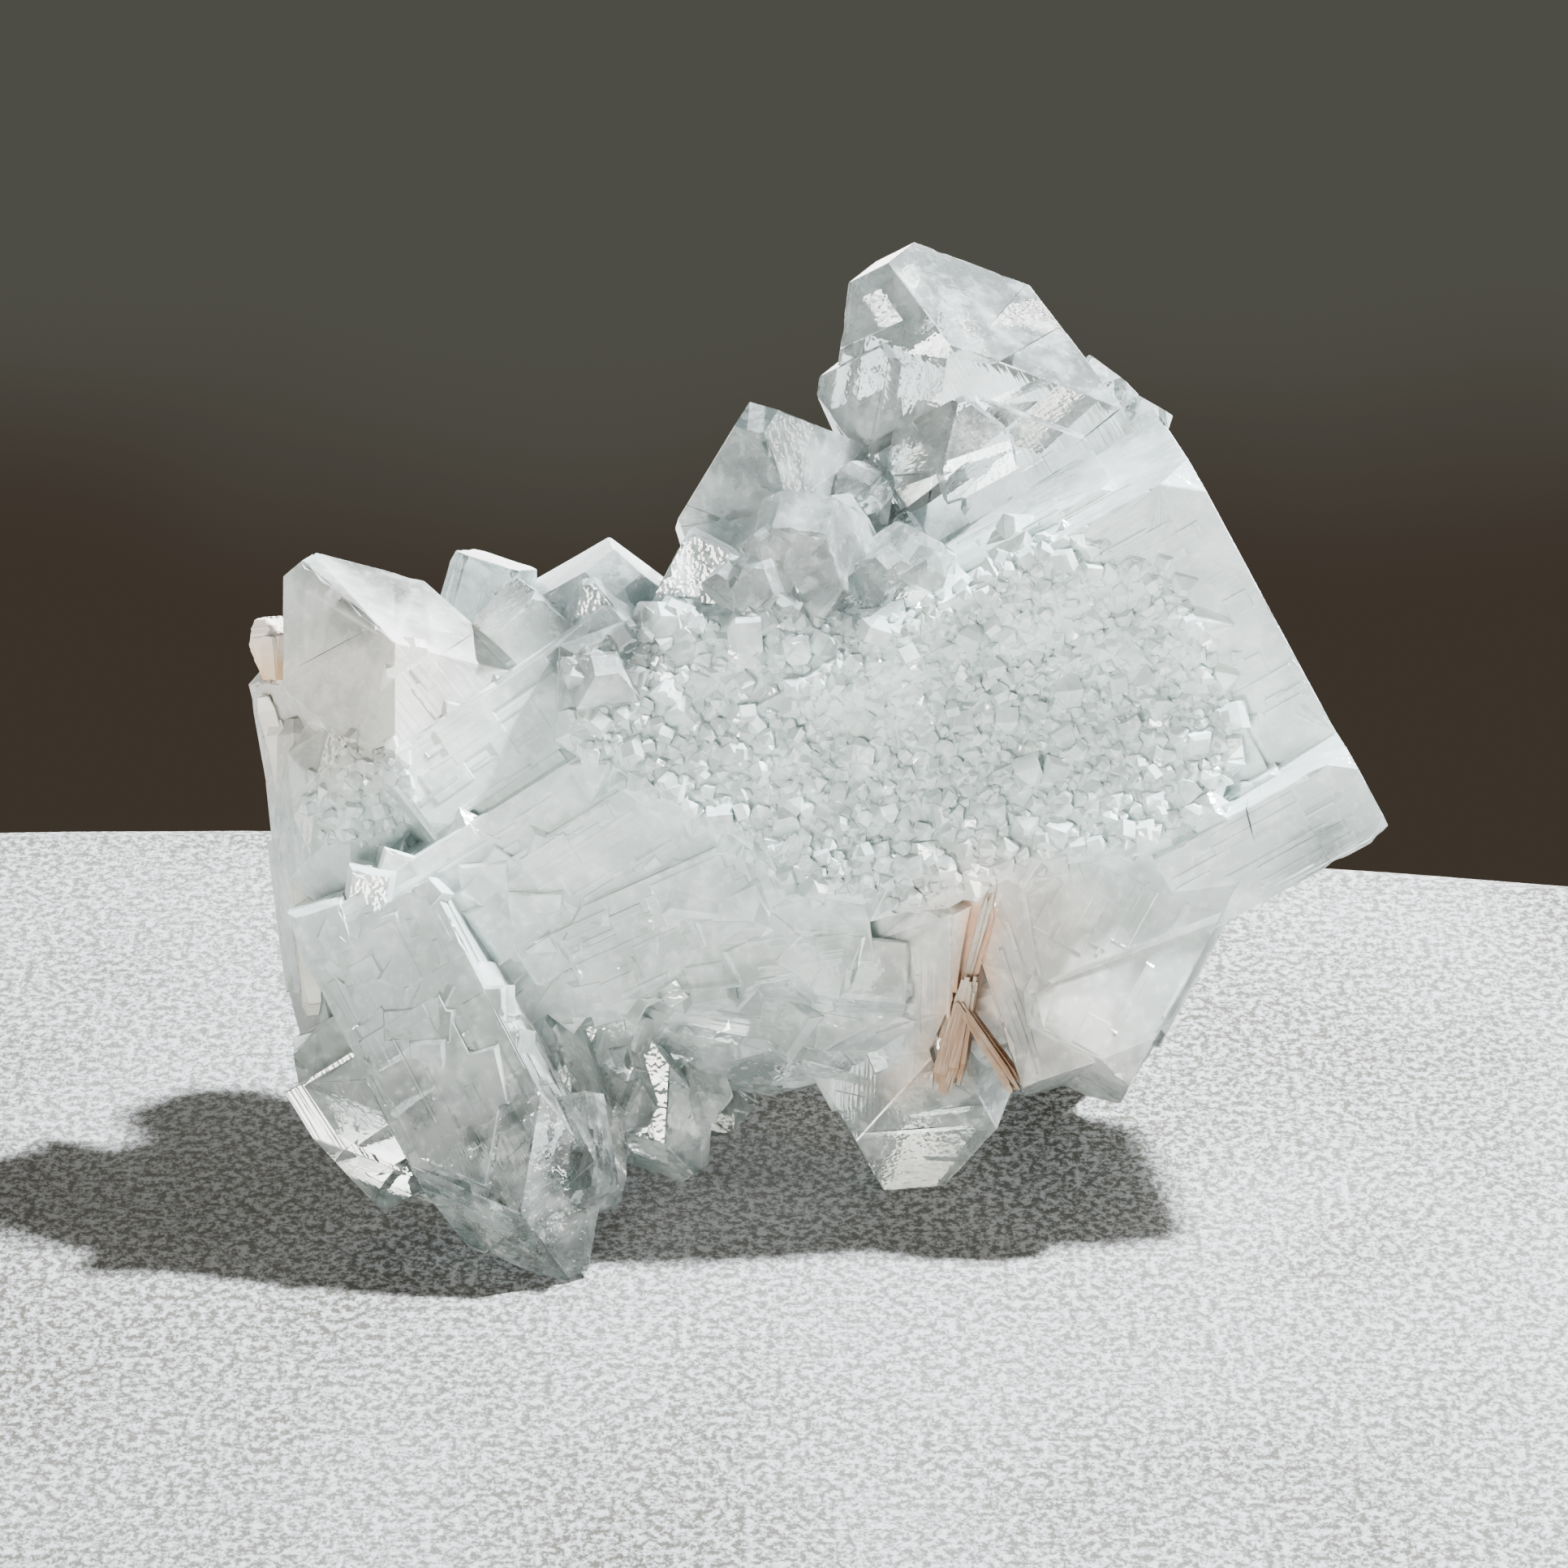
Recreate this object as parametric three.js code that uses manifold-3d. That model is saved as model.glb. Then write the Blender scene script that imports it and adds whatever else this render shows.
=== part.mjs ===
// A cluster of apophyllite crystals with small stilbite sheaves. Millimetres and degrees, +Z up.
// The cluster stands on the tips of its lowest crystals, and its origin is the middle of the
// box it stands in, on the ground.
//
// The crystals are laid out in a picture plane: x to the right, y up the picture and z towards
// the reader, who looks down on the cluster a little. upright() then turns that layout into
// the standing frame, where +Z is up and the reader stands at -Y.

import * as THREE from 'three';
import { mergeVertices } from 'three/addons/utils/BufferGeometryUtils.js';
import Module from 'manifold-3d';

const wasm = await Module();
wasm.setup();

// ---------------------------------------------------------------- driving dimensions

const lookDown = 18;          // how far the reader looks down on the cluster
const layoutHeight = 21.7;    // the layout's centre above the ground
const seatGap = 0.3;          // clearance of each stilbite sheaf in its pocket
const pyramidAngle = 60.5;    // between a pyramid face's normal and the crystal's long axis

// A pyramid's edges leave its axis by this much for each millimetre of height.
const edgeSlope = Math.SQRT2 / Math.tan(THREE.MathUtils.degToRad(pyramidAngle));

// Each crystal is a square prism with a four-sided pyramid set cornerwise on it, cut by a flat
// cap. end is the middle of the cap; heading is the long axis in the picture plane, counted
// from +x; towards tips the end to the reader; turn rolls the crystal about its axis. corner is
// how far below the cap the pyramid meets the prism's corners. steps counts the thinner
// crystals grown parallel on its sides.
const largeCrystals = {
  crown: {
    end: [5.4, 28.8, -3], heading: 121, towards: 8, turn: 6,
    width: 12.9, depth: 12.6, length: 25, corner: 13.2, steps: 3,
  },
  slab: {
    end: [26.3, 9.8, 0], heading: 28.8, towards: 2, turn: 18.7,
    width: 22.6, depth: 14, length: 34, corner: 2, steps: 4,
  },
  slabCorner: {
    end: [31.1, 0.9, 3], heading: 28.8, towards: 2, turn: 18.7,
    width: 5.2, depth: 9, length: 12, corner: 1.4, steps: 1,
  },
  block: {
    end: [13.8, -11.6, 4.2], heading: -119.5, towards: 14, turn: 4,
    width: 13.2, depth: 9, length: 13, corner: 8, steps: 0,
  },
  blockSide: {
    end: [15.2, -15.1, 5.4], heading: -119.5, towards: 16, turn: 4,
    width: 7.4, depth: 8, length: 15, corner: 2.4, steps: 1,
  },
  blockFront: {
    end: [16.1, -15.7, 5.1], heading: -72, towards: 8, turn: 0,
    width: 6.6, depth: 7, length: 13, corner: 1.4, steps: 0,
  },
  leftCrown: {
    end: [-26.5, 12, 1.5], heading: 128, towards: 0, turn: 14.5,
    width: 9.9, depth: 13.2, length: 25, corner: 13, steps: 3,
  },
  leftBeam: {
    end: [-23.6, -11.9, 5.5], heading: 212, towards: 8, turn: -8,
    width: 11, depth: 10.5, length: 30, corner: 1.2, steps: 3,
  },
  leftBeamLip: {
    end: [-21.3, -16, 6.8], heading: 212, towards: 8, turn: -8,
    width: 4.6, depth: 7, length: 3.8, corner: 0.6, steps: 0,
  },
  leftBeamTop: {
    end: [-20.9, -0.9, 6], heading: 215, towards: 12, turn: -4,
    width: 5, depth: 8, length: 15, corner: 1, steps: 1,
  },
  frontFoot: {
    end: [-11.2, -26.4, 11], heading: -62, towards: 10, turn: 12,
    width: 8.2, depth: 8, length: 22, corner: 9, steps: 2,
  },
  frontFootSide: {
    end: [-14, -24.6, 8], heading: -62, towards: 10, turn: 6,
    width: 12.2, depth: 9, length: 12.5, corner: 13, steps: 1,
  },
  seatFoot: {
    end: [6.8, -21.8, -3.3], heading: -91, towards: -lookDown, turn: 32,
    width: 11.4, depth: 11, length: 18, corner: 11, steps: 0,
  },
};

const middleCrystals = [
  // The clear group in the middle of the upper edge.
  { end: [-1.5, 19.9, 4], heading: 107, towards: 50, turn: 4, width: 11.4, depth: 9.4, length: 16, corner: 11.4 },
  { end: [1.1, 14.6, 8.6], heading: 88, towards: 48, turn: 34, width: 8, length: 13, corner: 7.4 },
  { end: [-3.7, 13.1, 6.4], heading: 62, towards: 8, turn: 0, width: 3.1, length: 9, corner: 0.7 },
  { end: [-1.4, 11.9, 9.6], heading: 98, towards: 34, turn: 20, width: 3.4, length: 8, corner: 3.2 },
  { end: [7.2, 12.6, 7.6], heading: 66, towards: 56, turn: 40, width: 5.4, length: 9, corner: 4.6 },
  { end: [4.7, 17.4, 1.6], heading: 74, towards: 20, turn: 10, width: 3.2, length: 9, corner: 2.6 },
  // The low group between the left crown and the clear group.
  { end: [-15.9, 12.4, -4], heading: 74, towards: 8, turn: -16, width: 3.9, length: 12, corner: 0.7 },
  { end: [-9.3, 11.5, 3], heading: 81, towards: 60, turn: 8, width: 9.4, length: 13, corner: 9.8 },
  { end: [-6.6, 11.2, -3], heading: 62, towards: 8, turn: 20, width: 4.6, length: 12, corner: 4.4 },
  { end: [-10.6, 11, 4.6], heading: 104, towards: 36, turn: 40, width: 4.8, length: 12, corner: 5.4 },
  { end: [-15.2, 9.6, 5], heading: 134, towards: 20, turn: 4, width: 3.6, depth: 5, length: 12, corner: 0.8 },
  { end: [-8.4, 6.6, 8.4], heading: 76, towards: 44, turn: 30, width: 4.8, length: 9, corner: 4.6 },
  { end: [-17.2, 3.6, 7], heading: 150, towards: 56, turn: 10, width: 5.4, length: 10, corner: 2.4 },
  // The points behind the slab's upper corner.
  { end: [18.3, 22.7, -5], heading: 52, towards: 0, turn: 20, width: 3.6, length: 12, corner: 2 },
  { end: [20, 21.1, -3], heading: 61, towards: 0, turn: 12, width: 3, length: 10, corner: 0.8 },
  // The left flank.
  { end: [-26.4, -15.9, 3], heading: 190, towards: 0, turn: 24, width: 4.4, length: 9, corner: 2.4 },
  { end: [-19, -21.6, 4], heading: -58, towards: 0, turn: 10, width: 7, depth: 8, length: 8.4, corner: 5.5 },
  // The shelves below the left beam, and the crystals between them and the stilbite.
  { end: [-11.7, -10.1, 5.8], heading: 204, towards: 6, turn: -6, width: 6.4, length: 14, corner: 1.8 },
  { end: [-15.2, -10, 4.4], heading: 187, towards: 0, turn: 10, width: 6.2, depth: 7, length: 20, corner: 3.4 },
  { end: [-1.9, -5, 7.2], heading: 98, towards: 30, turn: 16, width: 4.6, length: 9, corner: 4.8 },
  { end: [8, -11.6, 3], heading: -10, towards: 2, turn: 8, width: 6.6, depth: 8, length: 14, corner: 5.2 },
  // The points under the body.
  { end: [-9.5, -22.9, 7.4], heading: -68, towards: 10, turn: 26, width: 3.6, length: 12, corner: 3.4 },
  { end: [-4.8, -21.2, 2.6], heading: -55, towards: 2, turn: 8, width: 5.4, length: 13, corner: 5.6 },
  { end: [-8.8, -20.4, 3], heading: -62, towards: 0, turn: 14, width: 2.2, length: 8, corner: 1.4 },
  { end: [-8.2, -18.8, 5], heading: -80, towards: 14, turn: 30, width: 3.4, length: 9, corner: 3 },
  { end: [-2.6, -18.6, -4], heading: -48, towards: -10, turn: 16, width: 3.2, length: 9, corner: 2 },
  // The back of the cluster.
  { end: [-15, -20.6, -9], heading: -112, towards: -26, turn: 22, width: 7, length: 18, corner: 6 },
  { end: [15.4, -16.2, -18.4], heading: -78, towards: -44, turn: 20, width: 8, length: 20, corner: 7.4 },
  { end: [-20, 7.6, -13], heading: 150, towards: -40, turn: 16, width: 8, length: 18, corner: 7 },
  { end: [15, 15.6, -14], heading: 66, towards: -38, turn: 30, width: 8, length: 19, corner: 7.6 },
  { end: [-7, 8.6, -14], heading: 116, towards: -48, turn: 12, width: 9, length: 20, corner: 9 },
  { end: [24, -2, -12], heading: -14, towards: -40, turn: 8, width: 9, length: 18, corner: 3.4 },
  { end: [-22.6, -6, -12], heading: 196, towards: -42, turn: 24, width: 8.4, length: 19, corner: 6.6 },
  { end: [4, 3, -20], heading: 84, towards: -76, turn: 30, width: 9.4, length: 20, corner: 9.6 },
  { end: [-10, -4, -18], heading: 160, towards: -66, turn: 14, width: 8, length: 18, corner: 6 },
  { end: [12, -8, -18], heading: -40, towards: -62, turn: 40, width: 6.4, length: 16, corner: 5.8 },
  { end: [2, -13.4, -14], heading: -96, towards: -50, turn: 10, width: 6.8, length: 15, corner: 3 },
];

// The broken, uneven mass that the crystals grow out of, as rounded lumps with flat chips.
const bodyLumps = [
  { centre: [-3, -5, -3], radii: [16, 9, 9], seed: 11 },
  { centre: [-12.5, -3.5, -2], radii: [12, 9, 9], seed: 12 },
  { centre: [9, -1, -4], radii: [14, 11, 9], seed: 13 },
  { centre: [-0.8, -11.8, 0], radii: [14, 4.8, 6.4], seed: 14 },
  { centre: [7, -12.8, 0], radii: [8.6, 4.6, 6.2], seed: 15 },
  { centre: [-8.6, -9.6, 3.4], radii: [8, 4.4, 3.6], seed: 16 },
  { centre: [-23.4, -1.8, 1.8], radii: [4.3, 6.8, 6.4], seed: 17 },
];

// Small crystals crust the front of the slab and the body inside this outline, on a bed that
// lies flush with the slab at its upper edge and ends in a thick ledge below.
const crustOutline = [
  [-11.4, 7], [-6.1, 9], [1.5, 8.8], [6, 8.8], [10.4, 11.2], [14.9, 13.6], [20, 12], [22.2, 9],
  [23.9, 4.7], [23.4, 0.9], [20.8, -3], [14.9, -3.7], [10.4, -5], [8, -6.4], [1.7, -5.4],
  [-3, -1.8], [-7.2, -0.6], [-11.6, 2.7],
];
const crustBed = { front: 8.5, depth: 5, bevel: 0.7, lean: 5, swing: 5 };
const crustCount = 230;
const crustWidths = [0.9, 2.2];

// A stilbite blade is a thin board pointed at both ends, and a sheaf is a fan of them. Towards
// the root a blade narrows to this share of its width.
const bladeRoot = 0.45;
const stilbiteSheaves = {
  stilbite_sheaf: [
    { end: [8.6, -16.8, 6.2], heading: -103, towards: -8, turn: 10, width: 1.9, thick: 1.5, length: 6.8, point: 2.2 },
    { end: [12.6, -16.5, 6.4], heading: -57, towards: -8, turn: 8, width: 1.2, thick: 1.4, length: 6.2, point: 0.7 },
    { end: [11, -5.4, 7.4], heading: 76, towards: 8, turn: 10, width: 0.9, thick: 1.3, length: 8.4, point: 1.4 },
  ],
  stilbite_bud: [
    { end: [-28.3, 9.2, -1], heading: 96, towards: 4, turn: 62, width: 2.8, thick: 1.3, length: 3.5, point: 0.8 },
    { end: [-28.9, 8.4, -2.2], heading: 106, towards: -6, turn: 70, width: 2.4, thick: 1.1, length: 2.8, point: 0.7 },
    { end: [-27.8, 8.2, 0.4], heading: 88, towards: 10, turn: 52, width: 2.2, thick: 1.1, length: 2.5, point: 0.6 },
  ],
  stilbite_plate: [
    { end: [-25.5, -14.2, -2.4], heading: -83, towards: 2, turn: 86, width: 6.4, thick: 1.3, length: 17, point: 1.8 },
    { end: [-25.7, -12.8, -6], heading: -84, towards: -12, turn: 88, width: 5.4, thick: 1.2, length: 15, point: 1.6 },
    { end: [-25.7, -12.8, 0.8], heading: -83, towards: 10, turn: 84, width: 4.2, thick: 1.1, length: 15, point: 1.5 },
    { end: [-27.8, 3.8, -2.6], heading: 98, towards: 2, turn: 86, width: 5.6, thick: 1.2, length: 12, point: 1.6 },
    { end: [-28.5, 5, -1.2], heading: 104, towards: 8, turn: 80, width: 3.2, thick: 1.1, length: 9, point: 1.1 },
    { end: [-27.5, 3.4, -6], heading: 95, towards: -14, turn: 88, width: 4.4, thick: 1.2, length: 11, point: 1.4 },
  ],
};

// ---------------------------------------------------------------- solids and randomness

function seeded(seed) {
  let state = seed >>> 0;
  return () => {
    state = (state + 0x6d2b79f5) >>> 0;
    let mixed = Math.imul(state ^ (state >>> 15), 1 | state);
    mixed = (mixed + Math.imul(mixed ^ (mixed >>> 7), 61 | mixed)) ^ mixed;
    return ((mixed ^ (mixed >>> 14)) >>> 0) / 4294967296;
  };
}

function between(draw, low, high) {
  return low + (high - low) * draw();
}

function solid(geometry) {
  geometry.deleteAttribute('normal');
  geometry.deleteAttribute('uv');
  const merged = mergeVertices(geometry, 1e-5);
  return new wasm.Manifold(new wasm.Mesh({
    numProp: 3,
    vertProperties: new Float32Array(merged.attributes.position.array),
    triVerts: new Uint32Array(merged.index.array),
  }));
}

function geometryOf(body) {
  const mesh = body.getMesh();
  const geometry = new THREE.BufferGeometry();
  geometry.setAttribute('position', new THREE.BufferAttribute(new Float32Array(mesh.vertProperties), 3));
  geometry.setIndex(new THREE.BufferAttribute(new Uint32Array(mesh.triVerts), 1));
  return geometry;
}

// Crystals that meet can seal a small gap between them. Only the outer skin is kept, so such a
// gap is filled.
function outerSkin(geometry) {
  const { index } = geometry;
  const leader = Array.from({ length: geometry.attributes.position.count }, (_, vertex) => vertex);
  const find = (vertex) => {
    let top = vertex;
    while (leader[top] !== top) top = leader[top];
    leader[vertex] = top;
    return top;
  };
  for (let corner = 0; corner < index.count; corner += 3) {
    const top = find(index.getX(corner));
    leader[find(index.getX(corner + 1))] = top;
    leader[find(index.getX(corner + 2))] = top;
  }
  const skins = new Map();
  for (let corner = 0; corner < index.count; corner += 3) {
    const top = find(index.getX(corner));
    if (!skins.has(top)) skins.set(top, []);
    skins.get(top).push(index.getX(corner), index.getX(corner + 1), index.getX(corner + 2));
  }
  const largest = [...skins.values()].reduce((best, skin) => (skin.length > best.length ? skin : best));
  return geometry.clone().setIndex(largest);
}

function joined(bodies) {
  return bodies.reduce((whole, body) => whole.add(body));
}

// ---------------------------------------------------------------- placing in the layout

// Turns the layout into the standing frame.
function upright() {
  const turn = THREE.MathUtils.degToRad(90 - lookDown);
  return new THREE.Matrix4().makeRotationX(turn).setPosition(0, 0, layoutHeight);
}

// Local y runs along the long axis to the end, local z faces the reader, local x is the side.
function placement({ end, heading, towards = 0, turn = 0 }) {
  const h = THREE.MathUtils.degToRad(heading);
  const t = THREE.MathUtils.degToRad(towards);
  const along = new THREE.Vector3(Math.cos(h) * Math.cos(t), Math.sin(h) * Math.cos(t), Math.sin(t));
  const side = new THREE.Vector3(Math.sin(h), -Math.cos(h), 0);
  const front = new THREE.Vector3().crossVectors(side, along);
  const roll = new THREE.Matrix4().makeRotationY(THREE.MathUtils.degToRad(turn));
  const placed = new THREE.Matrix4().makeBasis(side, along, front).setPosition(...end);
  return upright().multiply(placed).multiply(roll);
}

// ---------------------------------------------------------------- shapes

function crystal(form) {
  const { width, depth = width, length, corner } = form;
  const placed = placement(form);
  const prism = new THREE.BoxGeometry(width, length, depth).translate(0, -length / 2, 0);
  const apex = (width + depth) / 2 / edgeSlope - corner;
  const height = apex + length + 1;
  const pyramid = new THREE.ConeGeometry(edgeSlope * height, height, 4);
  pyramid.translate(0, apex - height / 2, 0);
  return solid(prism.applyMatrix4(placed)).intersect(solid(pyramid.applyMatrix4(placed)));
}

// The crystal with thinner ones grown parallel on its sides, each standing a little proud of
// one face and ending a little below the cap.
function grownCrystal(form, draw) {
  const { width, depth = width, length, corner, steps = 0 } = form;
  const across = new THREE.Vector3();
  const bodies = [crystal(form)];
  for (let step = 0; step < steps; step += 1) {
    const thinner = between(draw, 0.4, 0.72);
    const proud = between(draw, 0.2, 0.5);
    const onSide = step % 2 === 0;
    const sign = draw() < 0.5 ? -1 : 1;
    const flush = (size) => sign * (size * (1 - thinner) / 2 + proud);
    const slide = (size) => between(draw, -1, 1) * size * (1 - thinner) / 2;
    across.set(
      onSide ? flush(width) : slide(width),
      -between(draw, 0.12, 0.4) * length,
      onSide ? slide(depth) : Math.abs(flush(depth)),
    );
    const end = across.applyMatrix4(layoutPlacement(form)).toArray();
    bodies.push(crystal({
      ...form, end, width: width * thinner, depth: depth * thinner,
      length: length * 0.5, corner: Math.max(0.6, corner * thinner * 0.7),
    }));
  }
  return joined(bodies);
}

// A crystal's placement before the layout is stood upright.
function layoutPlacement(form) {
  return upright().invert().multiply(placement(form));
}

function lump({ centre, radii, seed }) {
  const draw = seeded(seed);
  const ball = new THREE.IcosahedronGeometry(1, 1);
  ball.deleteAttribute('normal');
  ball.deleteAttribute('uv');
  const chipped = mergeVertices(ball, 1e-5);
  const place = chipped.attributes.position;
  for (let corner = 0; corner < place.count; corner += 1) {
    const reach = between(draw, 0.86, 1.12);
    place.setXYZ(corner, place.getX(corner) * reach, place.getY(corner) * reach, place.getZ(corner) * reach);
  }
  chipped.scale(...radii).translate(...centre).applyMatrix4(upright());
  return solid(chipped);
}

function blade({ width, thick, length, point, ...place }, grow = 0) {
  const half = width / 2 + grow;
  const root = (width / 2) * bladeRoot + grow;
  const outline = new THREE.Shape([
    new THREE.Vector2(0, grow),
    new THREE.Vector2(-half, -point),
    new THREE.Vector2(-root, -length + point),
    new THREE.Vector2(0, -length - grow),
    new THREE.Vector2(root, -length + point),
    new THREE.Vector2(half, -point),
  ]);
  const board = new THREE.ExtrudeGeometry(outline, { depth: thick + 2 * grow, bevelEnabled: false });
  board.translate(0, 0, -thick / 2 - grow);
  return solid(board.applyMatrix4(placement(place)));
}

function inside(x, y, outline) {
  let within = false;
  outline.forEach(([x1, y1], corner) => {
    const [x2, y2] = outline[(corner + 1) % outline.length];
    const crosses = (y1 > y) !== (y2 > y) && x < x1 + ((y - y1) * (x2 - x1)) / (y2 - y1);
    if (crosses) within = !within;
  });
  return within;
}

// The bed that the small crystals crust.
function bedOf({ front, depth, bevel, lean, swing }) {
  const outline = new THREE.Shape(crustOutline.map(([x, y]) => new THREE.Vector2(x, y)));
  const bed = new THREE.ExtrudeGeometry(outline, {
    depth, bevelSize: bevel, bevelThickness: bevel, bevelSegments: 1,
  });
  bed.translate(0, 0, -depth).rotateX(-THREE.MathUtils.degToRad(lean));
  bed.rotateY(THREE.MathUtils.degToRad(swing)).translate(0, 0, front);
  return solid(bed.applyMatrix4(upright()));
}

// Small crystals seated wherever the reader's line of sight first meets the body. Each shows
// little more than its pyramid.
function crustOn(body, draw) {
  const target = new THREE.Mesh(geometryOf(body));
  const toLayout = upright().invert();
  const sight = new THREE.Vector3(0, 0, -1).transformDirection(upright());
  const reach = new THREE.Box2().setFromPoints(crustOutline.map(([x, y]) => new THREE.Vector2(x, y)));
  const ray = new THREE.Raycaster();
  const bits = [];
  while (bits.length < crustCount) {
    const x = between(draw, reach.min.x, reach.max.x);
    const y = between(draw, reach.min.y, reach.max.y);
    const width = crustWidths[0] + (crustWidths[1] - crustWidths[0]) * draw() ** 2;
    const heading = between(draw, 0, 360);
    const towards = between(draw, 50, 88);
    const turn = between(draw, 0, 90);
    if (!inside(x, y, crustOutline)) continue;
    ray.set(new THREE.Vector3(x, y, 60).applyMatrix4(upright()), sight);
    const [hit] = ray.intersectObject(target);
    if (!hit) continue;
    const seat = hit.point.applyMatrix4(toLayout);
    const end = [seat.x, seat.y, seat.z + width * 0.3];
    const pyramid = new THREE.ConeGeometry(edgeSlope * width * 1.2, width * 1.2, 4).translate(0, -width * 0.6, 0);
    bits.push(solid(pyramid.applyMatrix4(placement({ end, heading, towards, turn }))));
  }
  return joined(bits);
}

// ---------------------------------------------------------------- the cluster

const draw = seeded(2024);
const growth = joined([
  ...Object.values(largeCrystals).map((form) => grownCrystal(form, draw)),
  ...middleCrystals.map((form) => crystal(form)),
  ...bodyLumps.map((form) => lump(form)),
]);
const bedded = growth.add(bedOf(crustBed));
const crusted = bedded.add(crustOn(bedded, draw));

const aboveGround = solid(new THREE.BoxGeometry(200, 200, 200).translate(0, 0, 100));
const pockets = joined(Object.values(stilbiteSheaves).flat().map((form) => blade(form, seatGap)));
const apophyllite = crusted.intersect(aboveGround).subtract(pockets);

const clearStone = new THREE.MeshStandardMaterial({ color: '#ccd6d8', roughness: 0.15, metalness: 0 });
const pearlyStone = new THREE.MeshStandardMaterial({ color: '#dda481', roughness: 0.45, metalness: 0 });

function named(name, body, material) {
  const mesh = new THREE.Mesh(outerSkin(geometryOf(body)), material);
  mesh.name = name;
  return mesh;
}

const cluster = new THREE.Group();
cluster.add(named('apophyllite_cluster', apophyllite, clearStone));
for (const [name, blades] of Object.entries(stilbiteSheaves)) {
  cluster.add(named(name, joined(blades.map((form) => blade(form))), pearlyStone));
}

// The origin goes to the middle of the footprint.
const box = new THREE.Box3().setFromObject(cluster);
const middle = box.getCenter(new THREE.Vector3());
cluster.position.set(-middle.x, -middle.y, 0);

export default cluster;
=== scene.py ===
import bmesh
import bpy
import numpy as np
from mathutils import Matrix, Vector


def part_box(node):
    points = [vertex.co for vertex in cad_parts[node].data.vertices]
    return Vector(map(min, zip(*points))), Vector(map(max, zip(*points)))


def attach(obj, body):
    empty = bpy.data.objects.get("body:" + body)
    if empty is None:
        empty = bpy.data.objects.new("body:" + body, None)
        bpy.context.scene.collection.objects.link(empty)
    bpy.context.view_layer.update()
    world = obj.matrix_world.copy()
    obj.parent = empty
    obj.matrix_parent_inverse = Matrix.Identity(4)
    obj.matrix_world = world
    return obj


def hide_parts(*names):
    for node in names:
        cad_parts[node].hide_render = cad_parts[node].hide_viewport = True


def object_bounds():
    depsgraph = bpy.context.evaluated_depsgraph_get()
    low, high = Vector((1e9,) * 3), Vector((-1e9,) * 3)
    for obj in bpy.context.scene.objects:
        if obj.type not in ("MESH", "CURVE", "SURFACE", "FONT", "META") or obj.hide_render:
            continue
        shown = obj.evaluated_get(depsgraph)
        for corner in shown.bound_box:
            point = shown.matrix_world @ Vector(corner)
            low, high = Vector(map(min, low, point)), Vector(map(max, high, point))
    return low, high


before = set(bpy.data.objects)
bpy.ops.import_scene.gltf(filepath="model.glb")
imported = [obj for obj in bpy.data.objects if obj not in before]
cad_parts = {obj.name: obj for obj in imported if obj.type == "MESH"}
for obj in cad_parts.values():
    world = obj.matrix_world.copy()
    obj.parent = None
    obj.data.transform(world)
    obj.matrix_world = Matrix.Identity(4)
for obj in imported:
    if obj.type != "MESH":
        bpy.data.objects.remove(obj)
cad_low, cad_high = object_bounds()

# ---------------------------------------------------------------- camera, floor and light
# The cluster stands near the back edge of a pale round table top, in front of a dim warm wall.
# The key light stands above it, to its right and a little behind it. Low soft lights stand on
# all four sides, and a panel below the table's back edge shines up through the clear stone.

MM = 0.001
# The camera looks along +Y, down by this angle, at a point inside the cluster.
LOOK_DOWN = np.radians(18.0)
AIM = np.array([-1.5548, 0.2416, 21.7]) * MM
CAMERA_REACH = 0.450
SENSOR_MM, LENS_MM = 36.0, 188.4
TO_CAMERA = np.array([0.0, -np.cos(LOOK_DOWN), np.sin(LOOK_DOWN)])


def bpy_vector(values):
    """The three numbers as one of Blender's vectors."""
    return Vector([float(value) for value in values])


def looking(data, name, place, target):
    """An object for the data, standing at the place and turned to look at the target."""
    thing = bpy.data.objects.new(name, data)
    bpy.context.scene.collection.objects.link(thing)
    sight = bpy_vector(target) - bpy_vector(place)
    thing.location = place
    thing.rotation_euler = sight.to_track_quat("-Z", "Y").to_euler()
    return thing


lens = bpy.data.cameras.new("camera")
lens.sensor_width = SENSOR_MM
lens.lens = LENS_MM
lens.clip_start, lens.clip_end = 0.01, 10.0
camera = looking(lens, "camera", AIM + CAMERA_REACH * TO_CAMERA, AIM)
bpy.context.scene.camera = camera


def soft_light(name, place, size, power, colour):
    """A square light that looks at the cluster. Its place and its side are in millimetres, and
    its power is in watts."""
    data = bpy.data.lights.new(name, "AREA")
    data.shape = "SQUARE"
    data.size = size * MM
    data.energy = power
    data.color = colour
    return looking(data, name, np.array(place) * MM, AIM)


soft_light("key_light", (330, 150, 600), 44, 19.0, (0.94, 0.98, 1.0))
soft_light("front_light", (-240, -800, 64), 210, 6.3, (1.0, 0.97, 0.91))
soft_light("right_light", (560, -160, 100), 240, 1.9, (1.0, 0.95, 0.87))
soft_light("rear_light", (60, 560, 100), 300, 0.75, (1.0, 0.96, 0.88))
soft_light("left_light", (-430, 330, 60), 200, 0.5, (1.0, 0.95, 0.86))
back_panel = soft_light("back_panel", (10, 230, -80), 340, 0.80, (0.94, 0.985, 1.0))
back_panel.visible_camera = False

# Light passes through many faces of the clear crystals before it comes out again.
scene = bpy.context.scene
scene.view_settings.look = "AgX - Medium High Contrast"
scene.cycles.max_bounces, scene.cycles.diffuse_bounces = 12, 3
scene.cycles.glossy_bounces, scene.cycles.transmission_bounces = 8, 10
scene.cycles.use_light_tree = False


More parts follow.
